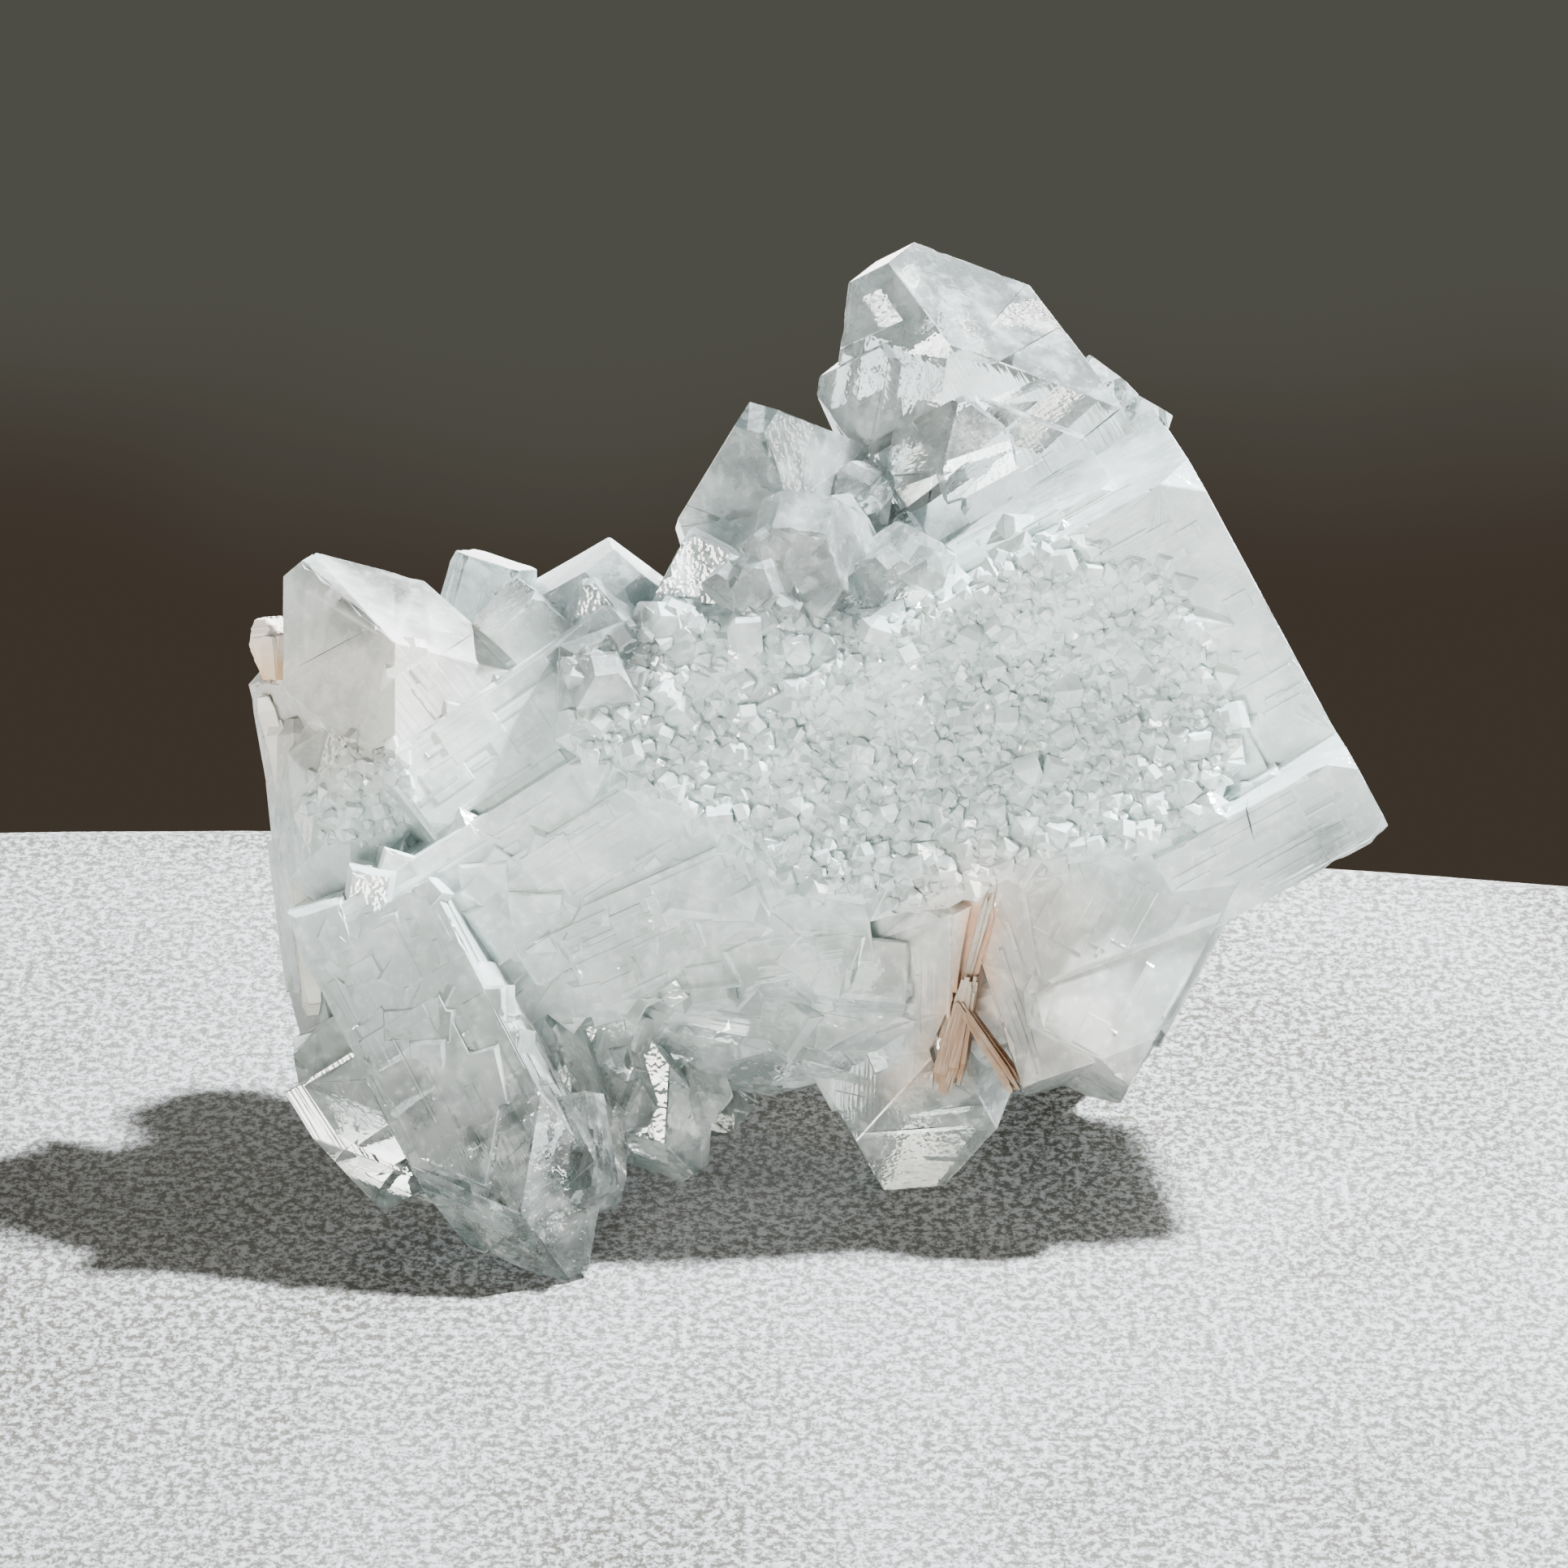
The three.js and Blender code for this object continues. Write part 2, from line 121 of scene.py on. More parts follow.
def node_maker(tree):
    """A function that adds a node to the tree, with its settings and its sockets' values or
    links, and returns it. A socket is named, or numbered as in i0."""
    def add(kind, settings=(), **inputs):
        made = tree.nodes.new(kind)
        for name, value in dict(settings).items():
            setattr(made, name, value)
        for name, value in inputs.items():
            numbered = name[0] == "i" and name[1:].isdigit()
            socket = made.inputs[int(name[1:]) if numbered else name.replace("_", " ")]
            if isinstance(value, bpy.types.NodeSocket):
                tree.links.new(value, socket)
            else:
                socket.default_value = value
        return made
    return add


def stepped(add, value, low, high, to_low, to_high):
    """The value carried smoothly from the range low to high onto the range to_low to to_high."""
    return add("ShaderNodeMapRange", {"interpolation_type": "SMOOTHSTEP"}, Value=value,
               From_Min=low, From_Max=high, To_Min=to_low, To_Max=to_high).outputs[0]


def reckoned(add, first, how, second):
    """The two numbers added, subtracted or multiplied."""
    return add("ShaderNodeMath", {"operation": how}, i0=first, i1=second).outputs[0]


def stretched(add, vector, factors):
    """The vector with each part multiplied by its factor."""
    return add("ShaderNodeVectorMath", {"operation": "MULTIPLY"}, i0=vector, i1=factors).outputs[0]


def noise_of(add, vector, scale, detail, roughness=0.55):
    """Cloudy noise whose lumps are one over the scale in size."""
    return add("ShaderNodeTexNoise", {}, Vector=vector, Scale=scale, Detail=detail,
               Roughness=roughness).outputs[0]


def blended(add, share, first, second):
    """The first colour where the share is 0 and the second where it is 1."""
    return add("ShaderNodeMix", {"data_type": "RGBA"}, i0=share, i6=first, i7=second).outputs[2]


# The wall is brown low down and grey-green above, and changes between these two heights.
WALL_CHANGE = (-0.262, -0.222)
WALL_BROWN, WALL_GREY = (0.066, 0.053, 0.041, 1), (0.094, 0.093, 0.079, 1)

world = bpy.data.worlds.new("dim_wall")
world.use_nodes = True
add = node_maker(world.node_tree)
direction = add("ShaderNodeTexCoord").outputs["Generated"]
height = add("ShaderNodeSeparateXYZ", {}, Vector=direction).outputs["Z"]
ripple = reckoned(add, noise_of(add, direction, 9.0, 2), "MULTIPLY", 0.05)
blurred = reckoned(add, height, "ADD", ripple)
wall = blended(add, stepped(add, blurred, *WALL_CHANGE, 0.0, 1.0), WALL_BROWN, WALL_GREY)
world.node_tree.links.new(wall, world.node_tree.nodes["Background"].inputs["Color"])
scene.world = world

TABLE_RADIUS = 320.0
TABLE_CENTRE = (-36.0, -260.0)
TABLE_THICK = 12.0
TABLE_SIDES = 192


def table_top():
    """A round slab: a profile of rings carried round the middle, with a small rounded edge."""
    turns = np.linspace(0, 2 * np.pi, TABLE_SIDES, endpoint=False)
    profile = np.array([[0.01, 0], [0.99, 0], [0.998, -0.6], [1.0, -2],
                        [1.0, -TABLE_THICK], [0.01, -TABLE_THICK]])
    radii = profile[:, 0, None] * TABLE_RADIUS
    x = TABLE_CENTRE[0] + radii * np.cos(turns)
    y = TABLE_CENTRE[1] + radii * np.sin(turns)
    z = np.broadcast_to(profile[:, 1, None], x.shape)
    points = np.stack([x, y, z], -1).reshape(-1, 3) * MM
    ring, spoke = np.meshgrid(np.arange(len(profile) - 1), np.arange(TABLE_SIDES), indexing="ij")
    here = ring * TABLE_SIDES + spoke
    there = ring * TABLE_SIDES + (spoke + 1) % TABLE_SIDES
    quads = np.stack([here, here + TABLE_SIDES, there + TABLE_SIDES, there], -1).reshape(-1, 4)
    last = (len(profile) - 1) * TABLE_SIDES
    caps = [list(range(TABLE_SIDES - 1, -1, -1)), list(range(last, last + TABLE_SIDES))]
    mesh = bpy.data.meshes.new("table_top")
    mesh.from_pydata(points.tolist(), [], quads.tolist() + caps)
    return mesh


def finish_material(name, colour, roughness):
    """A plain Principled finish, with its node tree ready for more nodes."""
    material = bpy.data.materials.new(name)
    material.use_nodes = True
    surface = material.node_tree.nodes["Principled BSDF"]
    surface.inputs["Base Color"].default_value = (*colour, 1)
    surface.inputs["Roughness"].default_value = roughness
    return material, surface


# The table top is pale stone with dark and light grains and a faint wide stain. Its noise is a
# little longer front to back than across.
DARK_GRAIN, LIGHT_GRAIN = (0.105, 0.098, 0.086, 1), (0.54, 0.548, 0.565, 1)

floor = bpy.data.objects.new("table_top", table_top())
scene.collection.objects.link(floor)
pale_stone, pale_surface = finish_material("pale_stone", (0.34, 0.345, 0.36), 0.7)
add, link = node_maker(pale_stone.node_tree), pale_stone.node_tree.links.new
sand = stretched(add, add("ShaderNodeTexCoord").outputs["Object"], (1000, 620, 1000))
grit = noise_of(add, sand, 2.0, 2, 0.8)
stain = noise_of(add, sand, 0.03, 3)
shade = reckoned(add, stepped(add, grit, 0.39, 0.64, 0, 0.88), "ADD",
                 stepped(add, stain, 0.35, 0.65, 0, 0.2))
link(blended(add, shade, DARK_GRAIN, LIGHT_GRAIN), pale_surface.inputs["Base Color"])
bump = add("ShaderNodeBump", {}, Strength=0.7, Distance=0.15 * MM, Height=grit)
link(bump.outputs[0], pale_surface.inputs["Normal"])
floor.data.materials.append(pale_stone)

# ---------------------------------------------------------------- the apophyllite cluster
# One intergrown mass of square apophyllite crystals, clear at the tips and milky in the body.
# Its faces are flat and glassy, and a crust of half-millimetre crystals covers its front.

# The crystals are laid out in millimetres, with x across, y up the picture plane and z towards
# the viewer. These rows turn the layout upright.
UPRIGHT = np.array([[1, 0, 0],
                    [0, np.sin(LOOK_DOWN), -np.cos(LOOK_DOWN)],
                    [0, np.cos(LOOK_DOWN), np.sin(LOOK_DOWN)]])


def standing(points):
    """Layout points in millimetres, turned upright and put in place, in metres."""
    return np.asarray(points, float) @ UPRIGHT.T * MM + AIM


def lying(points):
    """Points of the standing cluster, in metres, back in the layout's millimetres."""
    return (np.asarray(points, float) - AIM) @ UPRIGHT / MM


def merged_copy(node, name):
    """The node's mesh as a new mesh whose loose triangles are merged into one skin."""
    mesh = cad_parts[node].data.copy()
    mesh.name = name
    shape = bmesh.new()
    shape.from_mesh(mesh)
    bmesh.ops.remove_doubles(shape, verts=shape.verts, dist=1e-7)
    shape.to_mesh(mesh)
    shape.free()
    mesh.materials.clear()
    return mesh


def mesh_points(mesh):
    """All the mesh's points as an array."""
    points = np.empty(len(mesh.vertices) * 3)
    mesh.vertices.foreach_get("co", points)
    return points.reshape(-1, 3)


def mesh_triangles(mesh):
    """The point numbers of all the mesh's triangles as an array."""
    mesh.calc_loop_triangles()
    corners = np.empty(len(mesh.loop_triangles) * 3, int)
    mesh.loop_triangles.foreach_get("vertices", corners)
    return corners.reshape(-1, 3)


def outer_edges(shape, bend, least):
    """The edges that bend outwards by more than the bend, in radians, and are longer than the
    least length."""
    return [edge for edge in shape.edges if edge.is_manifold
            and edge.calc_face_angle_signed() > bend and edge.calc_length() > least * MM]


def worn_edges(mesh, least, width):
    """Cuts a narrow flat along the mesh's outer edges that are longer than the least length."""
    shape = bmesh.new()
    shape.from_mesh(mesh)
    edges = outer_edges(shape, bend=0.5, least=least)
    bmesh.ops.bevel(shape, geom=edges, offset=width * MM, offset_type="OFFSET", segments=1,
                    profile=0.5, affect="EDGES", clamp_overlap=False)
    shape.to_mesh(mesh)
    shape.free()


cluster_mesh = merged_copy("apophyllite_cluster", "apophyllite")
skin = lying(mesh_points(cluster_mesh))[mesh_triangles(cluster_mesh)]

# The large crystals: the middle of the cap, the long axis's heading in the layout and its lean
# towards the viewer, the roll about it, then width, depth and length.
LARGE_CRYSTALS = np.array([
    [5.4, 28.8, -3, 121, 8, 6, 12.9, 12.6, 25],
    [26.3, 9.8, 0, 28.8, 2, 18.7, 22.6, 14, 34],
    [31.1, 0.9, 3, 28.8, 2, 18.7, 5.2, 9, 12],
    [13.8, -11.6, 4.2, -119.5, 14, 4, 13.2, 9, 13],
    [15.2, -15.1, 5.4, -119.5, 16, 4, 7.4, 8, 15],
    [16.1, -15.7, 5.1, -72, 8, 0, 6.6, 7, 13],
    [-26.5, 12, 1.5, 128, 0, 14.5, 9.9, 13.2, 25],
    [-23.6, -11.9, 5.5, 212, 8, -8, 11, 10.5, 30],
    [-21.3, -16, 6.8, 212, 8, -8, 4.6, 7, 3.8],
    [-20.9, -0.9, 6, 215, 12, -4, 5, 8, 15],
    [-11.2, -26.4, 11, -62, 10, 12, 8.2, 8, 22],
    [-14, -24.6, 8, -62, 10, 6, 12.2, 9, 12.5],
    [6.8, -21.8, -3.3, -91, -18, 32, 11.4, 11, 18],
    [-1.5, 19.9, 4, 107, 50, 4, 11.4, 9.4, 16],
    [-15.9, 12.4, -4, 74, 8, -16, 3.9, 3.9, 12],
    [-9.3, 11.5, 3, 81, 60, 8, 9.4, 9.4, 13],
    [-19, -21.6, 4, -58, 0, 10, 7, 8, 8.4],
    [-11.7, -10.1, 5.8, 204, 6, -6, 6.4, 6.4, 14],
    [-15.2, -10, 4.4, 187, 0, 10, 6.2, 7, 20],
    [8, -11.6, 3, -10, 2, 8, 6.6, 8, 14],
])


def crystal_axes(rows):
    """For each crystal its side, its long axis and its front in the layout: the side lies in the
    picture plane, the front is square to both, and the roll turns them about the long axis."""
    heading, lean, roll = np.radians(rows[:, 3:6]).T
    zero = np.zeros(len(rows))
    along = np.stack([np.cos(heading) * np.cos(lean), np.sin(heading) * np.cos(lean), np.sin(lean)], 1)
    side = np.stack([np.sin(heading), -np.cos(heading), zero], 1)
    front = np.cross(side, along)
    cos, sin = np.cos(roll)[:, None], np.sin(roll)[:, None]
    return np.stack([side * cos - front * sin, along, side * sin + front * cos], 1)


# The outline of the sparkling crust, in the layout.
CRUST_OUTLINE = np.array([
    [-11.4, 7], [-6.1, 9], [1.5, 8.8], [6, 8.8], [10.4, 11.2], [14.9, 13.6], [20, 12], [22.2, 9],
    [23.9, 4.7], [23.4, 0.9], [20.8, -3], [14.9, -3.7], [10.4, -5], [8, -6.4], [1.7, -5.4],
    [-3, -1.8], [-7.2, -0.6], [-11.6, 2.7],
])


def inside_outline(points, outline):
    """True for each point with an odd number of outline edges straight to its right."""
    x, y = points[:, None, 0], points[:, None, 1]
    x1, y1 = outline[:, 0], outline[:, 1]
    x2, y2 = np.roll(x1, -1), np.roll(y1, -1)
    rise = np.where(y2 == y1, 1e-9, y2 - y1)
    crossed = ((y1 > y) != (y2 > y)) & (x < x1 + (y - y1) * (x2 - x1) / rise)
    return crossed.sum(1) % 2 == 1


# Points are taken this many at a time, which keeps the arrays small.
BATCH = 400


def seats_on(triangles, points):
    """Where the line of sight through each layout point first meets the triangles: the place,
    which is empty if it meets none, and the way that face looks. A point's weights in a
    triangle are the areas it splits off."""
    a, b, c = triangles[:, 0], triangles[:, 1], triangles[:, 2]
    normals = np.cross(b - a, c - a)
    facing = normals[:, 2] > 1e-6
    a, b, c, normals = a[facing], b[facing], c[facing], normals[facing]
    normals /= np.linalg.norm(normals, axis=1)[:, None]
    span = (b[:, 0] - a[:, 0]) * (c[:, 1] - a[:, 1]) - (c[:, 0] - a[:, 0]) * (b[:, 1] - a[:, 1])
    places, ways = np.full((len(points), 3), np.nan), np.zeros((len(points), 3))
    for first in range(0, len(points), BATCH):
        batch = slice(first, first + BATCH)
        p = points[batch]
        px, py = p[:, None, 0] - a[:, 0], p[:, None, 1] - a[:, 1]
        v = (px * (c[:, 1] - a[:, 1]) - py * (c[:, 0] - a[:, 0])) / span
        w = (py * (b[:, 0] - a[:, 0]) - px * (b[:, 1] - a[:, 1])) / span
        z = a[:, 2] + v * (b[:, 2] - a[:, 2]) + w * (c[:, 2] - a[:, 2])
        z = np.where((v >= 0) & (w >= 0) & (v + w <= 1), z, -np.inf)
        best = z.argmax(1)
        height = z[np.arange(len(p)), best]
        met = np.isfinite(height)
        places[batch][met] = np.column_stack([p[met], height[met]])
        ways[batch][met] = normals[best[met]]
    return places, ways


def frames_round(ways, turns):
    """For each way, three directions at right angles: a side, the way itself, and a second
    side, turned about the way by the angle."""
    ways = ways / np.linalg.norm(ways, axis=1)[:, None]
    helper = np.where(np.abs(ways[:, :1]) < 0.8, [[1.0, 0, 0]], [[0, 1.0, 0]])
    side = np.cross(ways, helper)
    side /= np.linalg.norm(side, axis=1)[:, None]
    other = np.cross(side, ways)
    cos, sin = np.cos(turns)[:, None], np.sin(turns)[:, None]
    return np.stack([side * cos + other * sin, ways, other * cos - side * sin], 1)


# The corners of a square, which every small solid's rings share.
SQUARE = np.array([[1, 1], [-1, 1], [-1, -1], [1, -1]])


def small_crystals(ends, frames, widths, depths, lengths, caps):
    """Square crystals with twelve points each: rings of four corners at the root, the shoulder
    and the cap. The shoulder is as wide as the root, and the cap is that share of it."""
    ring = SQUARE / 2
    count = len(ends)
    share = np.stack([np.ones(count), np.ones(count), caps], 1)
    below = np.stack([lengths, widths * (1 - caps) * 0.55, np.zeros(count)], 1)
    local = np.empty((count, 3, 4, 3))
    local[..., 0] = ring[:, 0] * (share * widths[:, None])[..., None]
    local[..., 2] = ring[:, 1] * (share * depths[:, None])[..., None]
    local[..., 1] = -below[..., None]
    points = np.einsum("nrcj,njk->nrck", local, frames) + ends[:, None, None]
    return points.reshape(count, 12, 3)


# Every random number comes from this one seeded source.
draw = np.random.default_rng(7)


def turned_view(turn):
    """The layout's directions as seen from one side, turned about the layout's upright."""
    cos, sin = np.cos(np.radians(turn)), np.sin(np.radians(turn))
    return np.array([[cos, 0, sin], [0, 1, 0], [-sin, 0, cos]])


def crust_patch(outline, spacing, widths, lean, rise, caps, tilt=(0, 0, 0), facing=0.0, turn=0):
    """Small crystals seated where the line of sight meets the skin inside the outline, on a
    loose grid. Most are narrow: the width grows with a random number to the power 2. They stand
    out along the face, the tilt and a random lean together. Faces turned further away from the
    line of sight than the facing number allows stay bare. The turn picks the side."""
    view = turned_view(turn)
    low, high = outline.min(0), outline.max(0)
    x, y = np.meshgrid(np.arange(low[0], high[0], spacing), np.arange(low[1], high[1], spacing))
    x[::2] += spacing / 2
    spots = np.stack([x.ravel(), y.ravel()], 1) + draw.normal(0, spacing * 0.22, (x.size, 2))
    seats, ways = seats_on(skin @ view.T, spots[inside_outline(spots, outline)])
    met = np.isfinite(seats[:, 2]) & (ways[:, 2] > facing)
    seats, ways = seats[met] @ view, ways[met] @ view
    count = len(seats)
    wide = widths[0] + (widths[1] - widths[0]) * draw.random(count) ** 2
    lift = ways * (wide * draw.uniform(*rise, count))[:, None]
    leant = ways + tilt + draw.normal(0, lean, (count, 3))
    frames = frames_round(leant, draw.uniform(0, np.pi / 2, count))
    return small_crystals(seats + lift, frames, wide, wide, wide * 1.05, draw.uniform(*caps, count))


def ring_outline(centre, radii):
    """An oval outline of twelve corners."""
    turns = np.linspace(0, 2 * np.pi, 12, endpoint=False)
    return np.array(centre) + np.stack([np.cos(turns), np.sin(turns)], 1) * radii


# The crust's lower rim, where larger crystals hang over, and the broken body below it.
CRUST_RIM = np.array([
    [-3.5, -1], [1.5, -4], [10, -4.4], [14.6, -2.6], [14.9, -4.6], [10.4, -6], [1.7, -6.6], [-4, -3]])
LOWER_BODY = np.array([
    [-25, -5], [-14, -2.6], [-4, -4.4], [3, -7.6], [7, -9], [6, -15], [-6, -17], [-14, -16.5],
    [-19, -15.5], [-25, -11]])
# On the back, seen from behind, the patches between the blocks: middle, radii, spacing, widths.
REAR_PATCHES = (
    ((-13, 3), (7, 4), 0.85, (0.5, 1.5)),
    ((2, 1), (7, 4.5), 0.95, (0.6, 1.7)),
    ((13, -5), (7, 3.4), 0.85, (0.5, 1.4)),
    ((-6, -7), (6, 3), 0.9, (0.6, 1.6)),
    ((20, 6), (5, 3), 0.9, (0.5, 1.3)),
)
# The sugary crust, the coarser crystals in it and round it, and the patches on the back.
sugar = crust_patch(CRUST_OUTLINE, 0.43, (0.4, 0.9), 0.6, (0.15, 0.75), (0.05, 0.4))
coarse = np.concatenate([
    crust_patch(CRUST_OUTLINE * 1.02, 1.7, (0.8, 1.5), 0.6, (0.15, 0.5), (0.2, 0.7)),
    crust_patch(CRUST_RIM, 0.95, (0.6, 1.4), 0.25, (0.4, 1.0), (0.2, 0.6), tilt=(0.1, -0.7, 0.3)),
    crust_patch(ring_outline((-22.8, -0.6), (3.0, 3.2)), 0.62, (0.35, 0.9), 0.5, (0.05, 0.4), (0.1, 0.6)),
    crust_patch(ring_outline((-3, 7.5), (5, 3)), 1.3, (0.8, 1.9), 0.5, (0.15, 0.55), (0.2, 0.6)),
    crust_patch(ring_outline((22.5, 3), (3.2, 6)), 1.6, (0.7, 1.8), 0.3, (0.05, 0.25), (0.4, 0.8)),
])
rear = np.concatenate([
    crust_patch(ring_outline(middle, radii), spacing, widths, 0.5, (0.1, 0.5), (0.1, 0.6), turn=180)
    for middle, radii, spacing, widths in REAR_PATCHES])
# Low broken blocks on the lower body, on the faces that look towards the front.
lumps = crust_patch(LOWER_BODY, 1.9, (1.2, 3.8), 0.12, (-0.03, 0.03), (0.6, 0.92), facing=0.72)

# Medium crystals that stand out on the front: where their end is, how far it stands above the
# skin, their heading, lean and roll, then width, depth, length and the cap's share.
MEDIUM_CRYSTALS = np.array([
    [9.6, 20.9, 1.3, 96, 40, 20, 4.2, 4.2, 5, 0.12],
    [3.2, 15.4, 1.2, 75, 46, 30, 3.4, 3.4, 5, 0.3],
    [-1.2, 13.4, 1.0, 120, 50, 10, 2.4, 2.4, 4, 0.3],
    [-3.0, 11.4, 0.9, 100, 55, 40, 2.2, 2.2, 4, 0.4],
    [8.3, 12.4, 0.9, 55, 40, 15, 3.0, 3.0, 4, 0.15],
    [5.6, 12.1, 0.9, 80, 60, 50, 2.4, 2.4, 3, 0.4],
    [-9.6, 6.4, 1.0, 80, 62, 20, 3.6, 3.6, 4, 0.35],
    [-6.2, 9.4, 0.8, 70, 45, 25, 2.6, 2.6, 4, 0.4],
    [12.9, 14.0, 0.6, 60, 60, 30, 1.8, 1.8, 2, 0.5],
    [-19.6, 7.6, 0.5, 60, 40, 30, 3.2, 3.2, 4, 0.2],
    [-10.3, -22.6, 0.4, -80, 10, 20, 2.6, 2.6, 6, 0.4],
    [-4.2, -18.4, 0.5, -70, 30, 40, 2.6, 2.6, 5, 0.3],
])
medium_seats = seats_on(skin, MEDIUM_CRYSTALS[:, :2])[0]
medium_seats[:, 2] += MEDIUM_CRYSTALS[:, 2]
medium = small_crystals(medium_seats, crystal_axes(MEDIUM_CRYSTALS), *MEDIUM_CRYSTALS[:, 6:].T)

# Crystals that close the left side behind the stilbite: where the end is, then as above.
SIDE_CRYSTALS = np.array([
    [-27.7, 6.6, -2.6, 100, 4, 24, 3.0, 3.4, 9, 0.5],
    [-26.9, 3.6, -1.0, 96, 0, 40, 2.6, 3.0, 8, 0.4],
    [-27.0, -2.4, -2.2, 97, 0, 15, 2.4, 4.0, 9, 0.6],
    [-25.8, -9.6, -1.4, 104, 0, 35, 2.2, 3.4, 7, 0.5],
])
beside = small_crystals(SIDE_CRYSTALS[:, :3], crystal_axes(SIDE_CRYSTALS), *SIDE_CRYSTALS[:, 6:].T)

# The front stilbite blades: tip, heading, lean and roll, then width, thickness and length.
FRONT_BLADES = np.array([
    [8.6, -16.8, 6.2, -103, -8, 10, 1.9, 1.5, 6.8],
    [12.6, -16.5, 6.4, -57, -8, 8, 1.2, 1.4, 6.2],
    [11, -5.4, 7.4, 76, 8, 10, 0.9, 1.3, 8.4],
])


def grown_round(rows, more, sunk):
    """Stone that closes in on each blade from its sides: a board wider than the blade by more
    on each side, its front sunk below the blade's front."""
    half = np.stack([rows[:, 6] * 0.225, rows[:, 6] / 2, np.full(len(rows), 0.1)], 1) + more
    reach = np.stack([-rows[:, 8] - more, np.full(len(rows), -1.8), np.full(len(rows), 0.1)], 1)
    local = np.empty((len(rows), 3, 4, 3))
    local[..., 0] = SQUARE[:, 0] * half[..., None]
    local[..., 1] = reach[..., None]
    local[..., 2] = np.where(SQUARE[:, 1] > 0, rows[:, 7:8] / 2 - sunk, -rows[:, 7:8] / 2 - more)[:, None]
    points = np.einsum("nrcj,njk->nrck", local, crystal_axes(rows)) + rows[:, None, None, :3]
    return points.reshape(len(rows), 12, 3)


# How far outside a crystal's box a place may lie and still belong to it.
SLACK = 0.6


def owners_of(places, ways, rows):
    """For each place on the skin, the number of the large crystal it belongs to and how square
    its face is to that crystal's side or front: 0 if it lies in no crystal's box."""
    owner, match = np.zeros(len(places), int), np.zeros(len(places))
    for number, (row, axis) in enumerate(zip(rows, crystal_axes(rows))):
        local = (places - row[:3]) @ axis.T
        boxed = (np.abs(local[:, 0]) < row[6] / 2 + SLACK) & (np.abs(local[:, 2]) < row[7] / 2 + SLACK)
        boxed &= (local[:, 1] < SLACK) & (local[:, 1] > -row[8] - SLACK)
        square = np.abs(ways @ axis[[0, 2]].T).max(1) * boxed
        better = square > match
        owner[better], match[better] = number, square[better]
    return owner, match


# A face belongs to its crystal's side or front when it is at least this square to it, and a
# plate's corner lies on its face when it is nearer to it than this.
SAME_FACE = 0.9995
ON_FACE = 0.05


def growth_plates(rows, turn, tries, halves_long, halves_wide):
    """Thin plates grown on the faces seen from one side, turned about the layout's upright:
    boxes that lie along their crystal, a few hundredths of a millimetre proud, with the outer
    rim pulled in. A plate is kept if its four corners lie on the same face."""
    view = turned_view(turn)
    seen = skin @ view.T
    low, high = seen.reshape(-1, 3).min(0), seen.reshape(-1, 3).max(0)
    places, ways = seats_on(seen, draw.uniform(low[:2], high[:2], (tries, 2)))
    met = np.isfinite(places[:, 2])
    places, ways = places[met] @ view, ways[met] @ view
    owner, match = owners_of(places, ways, rows)
    places, ways, owner = (values[match > SAME_FACE] for values in (places, ways, owner))
    along = crystal_axes(rows)[owner, 1]
    across = np.cross(along, ways)
    count = len(places)
    half_long, half_wide = draw.uniform(*halves_long, count), draw.uniform(*halves_wide, count)
    flat = (places[:, None] + SQUARE[:, :1] * half_wide[:, None, None] * across[:, None]
            + SQUARE[:, 1:] * half_long[:, None, None] * along[:, None])
    under = seats_on(seen, (flat.reshape(-1, 3) @ view.T)[:, :2])[0] @ view
    gap = np.nan_to_num(np.linalg.norm(under.reshape(-1, 4, 3) - flat, axis=2), nan=9)
    kept = gap.max(1) < ON_FACE
    flat, places, ways = flat[kept], places[kept], ways[kept]
    proud = draw.uniform(0.03, 0.11, len(flat))
    rise = np.stack([-np.full(len(flat), 0.25), proud * 0.4, proud], 1)
    share = np.array([1.0, 1.0, 0.94])[:, None, None]
    spread = (flat - places[:, None])[:, None] * share
    rings = places[:, None, None] + spread + (rise[..., None] * ways[:, None])[:, :, None]
    return rings.reshape(len(flat), 12, 3)


# The sides seen, as a turn, with the plates tried on each, and the half lengths and half widths
# of wide plates and of thin ridges.
PLATE_SIDES = ((0, 1300), (90, 300), (180, 600), (270, 300))
PLATE_HALVES = (((0.4, 3.2), (0.2, 1.4)), ((0.8, 4.5), (0.05, 0.16)))
plates = np.concatenate([growth_plates(LARGE_CRYSTALS, turn, tries, *halves)
                         for turn, tries in PLATE_SIDES for halves in PLATE_HALVES])


def cracks(rows, numbers, each):
    """Open cleavage cracks in the numbered crystals: lenses a few hundredths of a millimetre
    thick, nearly square to the long axis, that run in from one side."""
    index = np.repeat(numbers, each)
    count = len(index)
    frames = crystal_axes(rows)[index]
    reach = draw.uniform(0.16, 0.4, count) * rows[index, 6]
    local = np.stack([
        draw.choice([-1.0, 1.0], count) * (rows[index, 6] / 2 - reach * draw.uniform(0.3, 0.9, count)),
        -draw.uniform(0.1, 0.55, count) * rows[index, 8],
        draw.uniform(-0.1, 0.5, count) * rows[index, 7]], 1)
    middles = rows[index, :3] + np.einsum("nj,njk->nk", local, frames)
    leant = frames[:, 1] + draw.normal(0, 0.16, (count, 3))
    lean = frames_round(leant, draw.uniform(0, np.pi / 2, count))
    lens_rings = np.array([0.3, 1.0, 0.3])[:, None]
    shape = np.empty((count, 3, 4, 3))
    shape[..., 0] = SQUARE[:, 0] * lens_rings * reach[:, None, None]
    shape[..., 2] = SQUARE[:, 1] * lens_rings * reach[:, None, None] * draw.uniform(0.4, 1, (count, 1, 1))
    shape[..., 1] = np.array([-1.0, 0, 1.0])[:, None] * draw.uniform(0.015, 0.04, (count, 1, 1))
    return (np.einsum("nrcj,njk->nrck", shape, lean) + middles[:, None, None]).reshape(count, 12, 3)


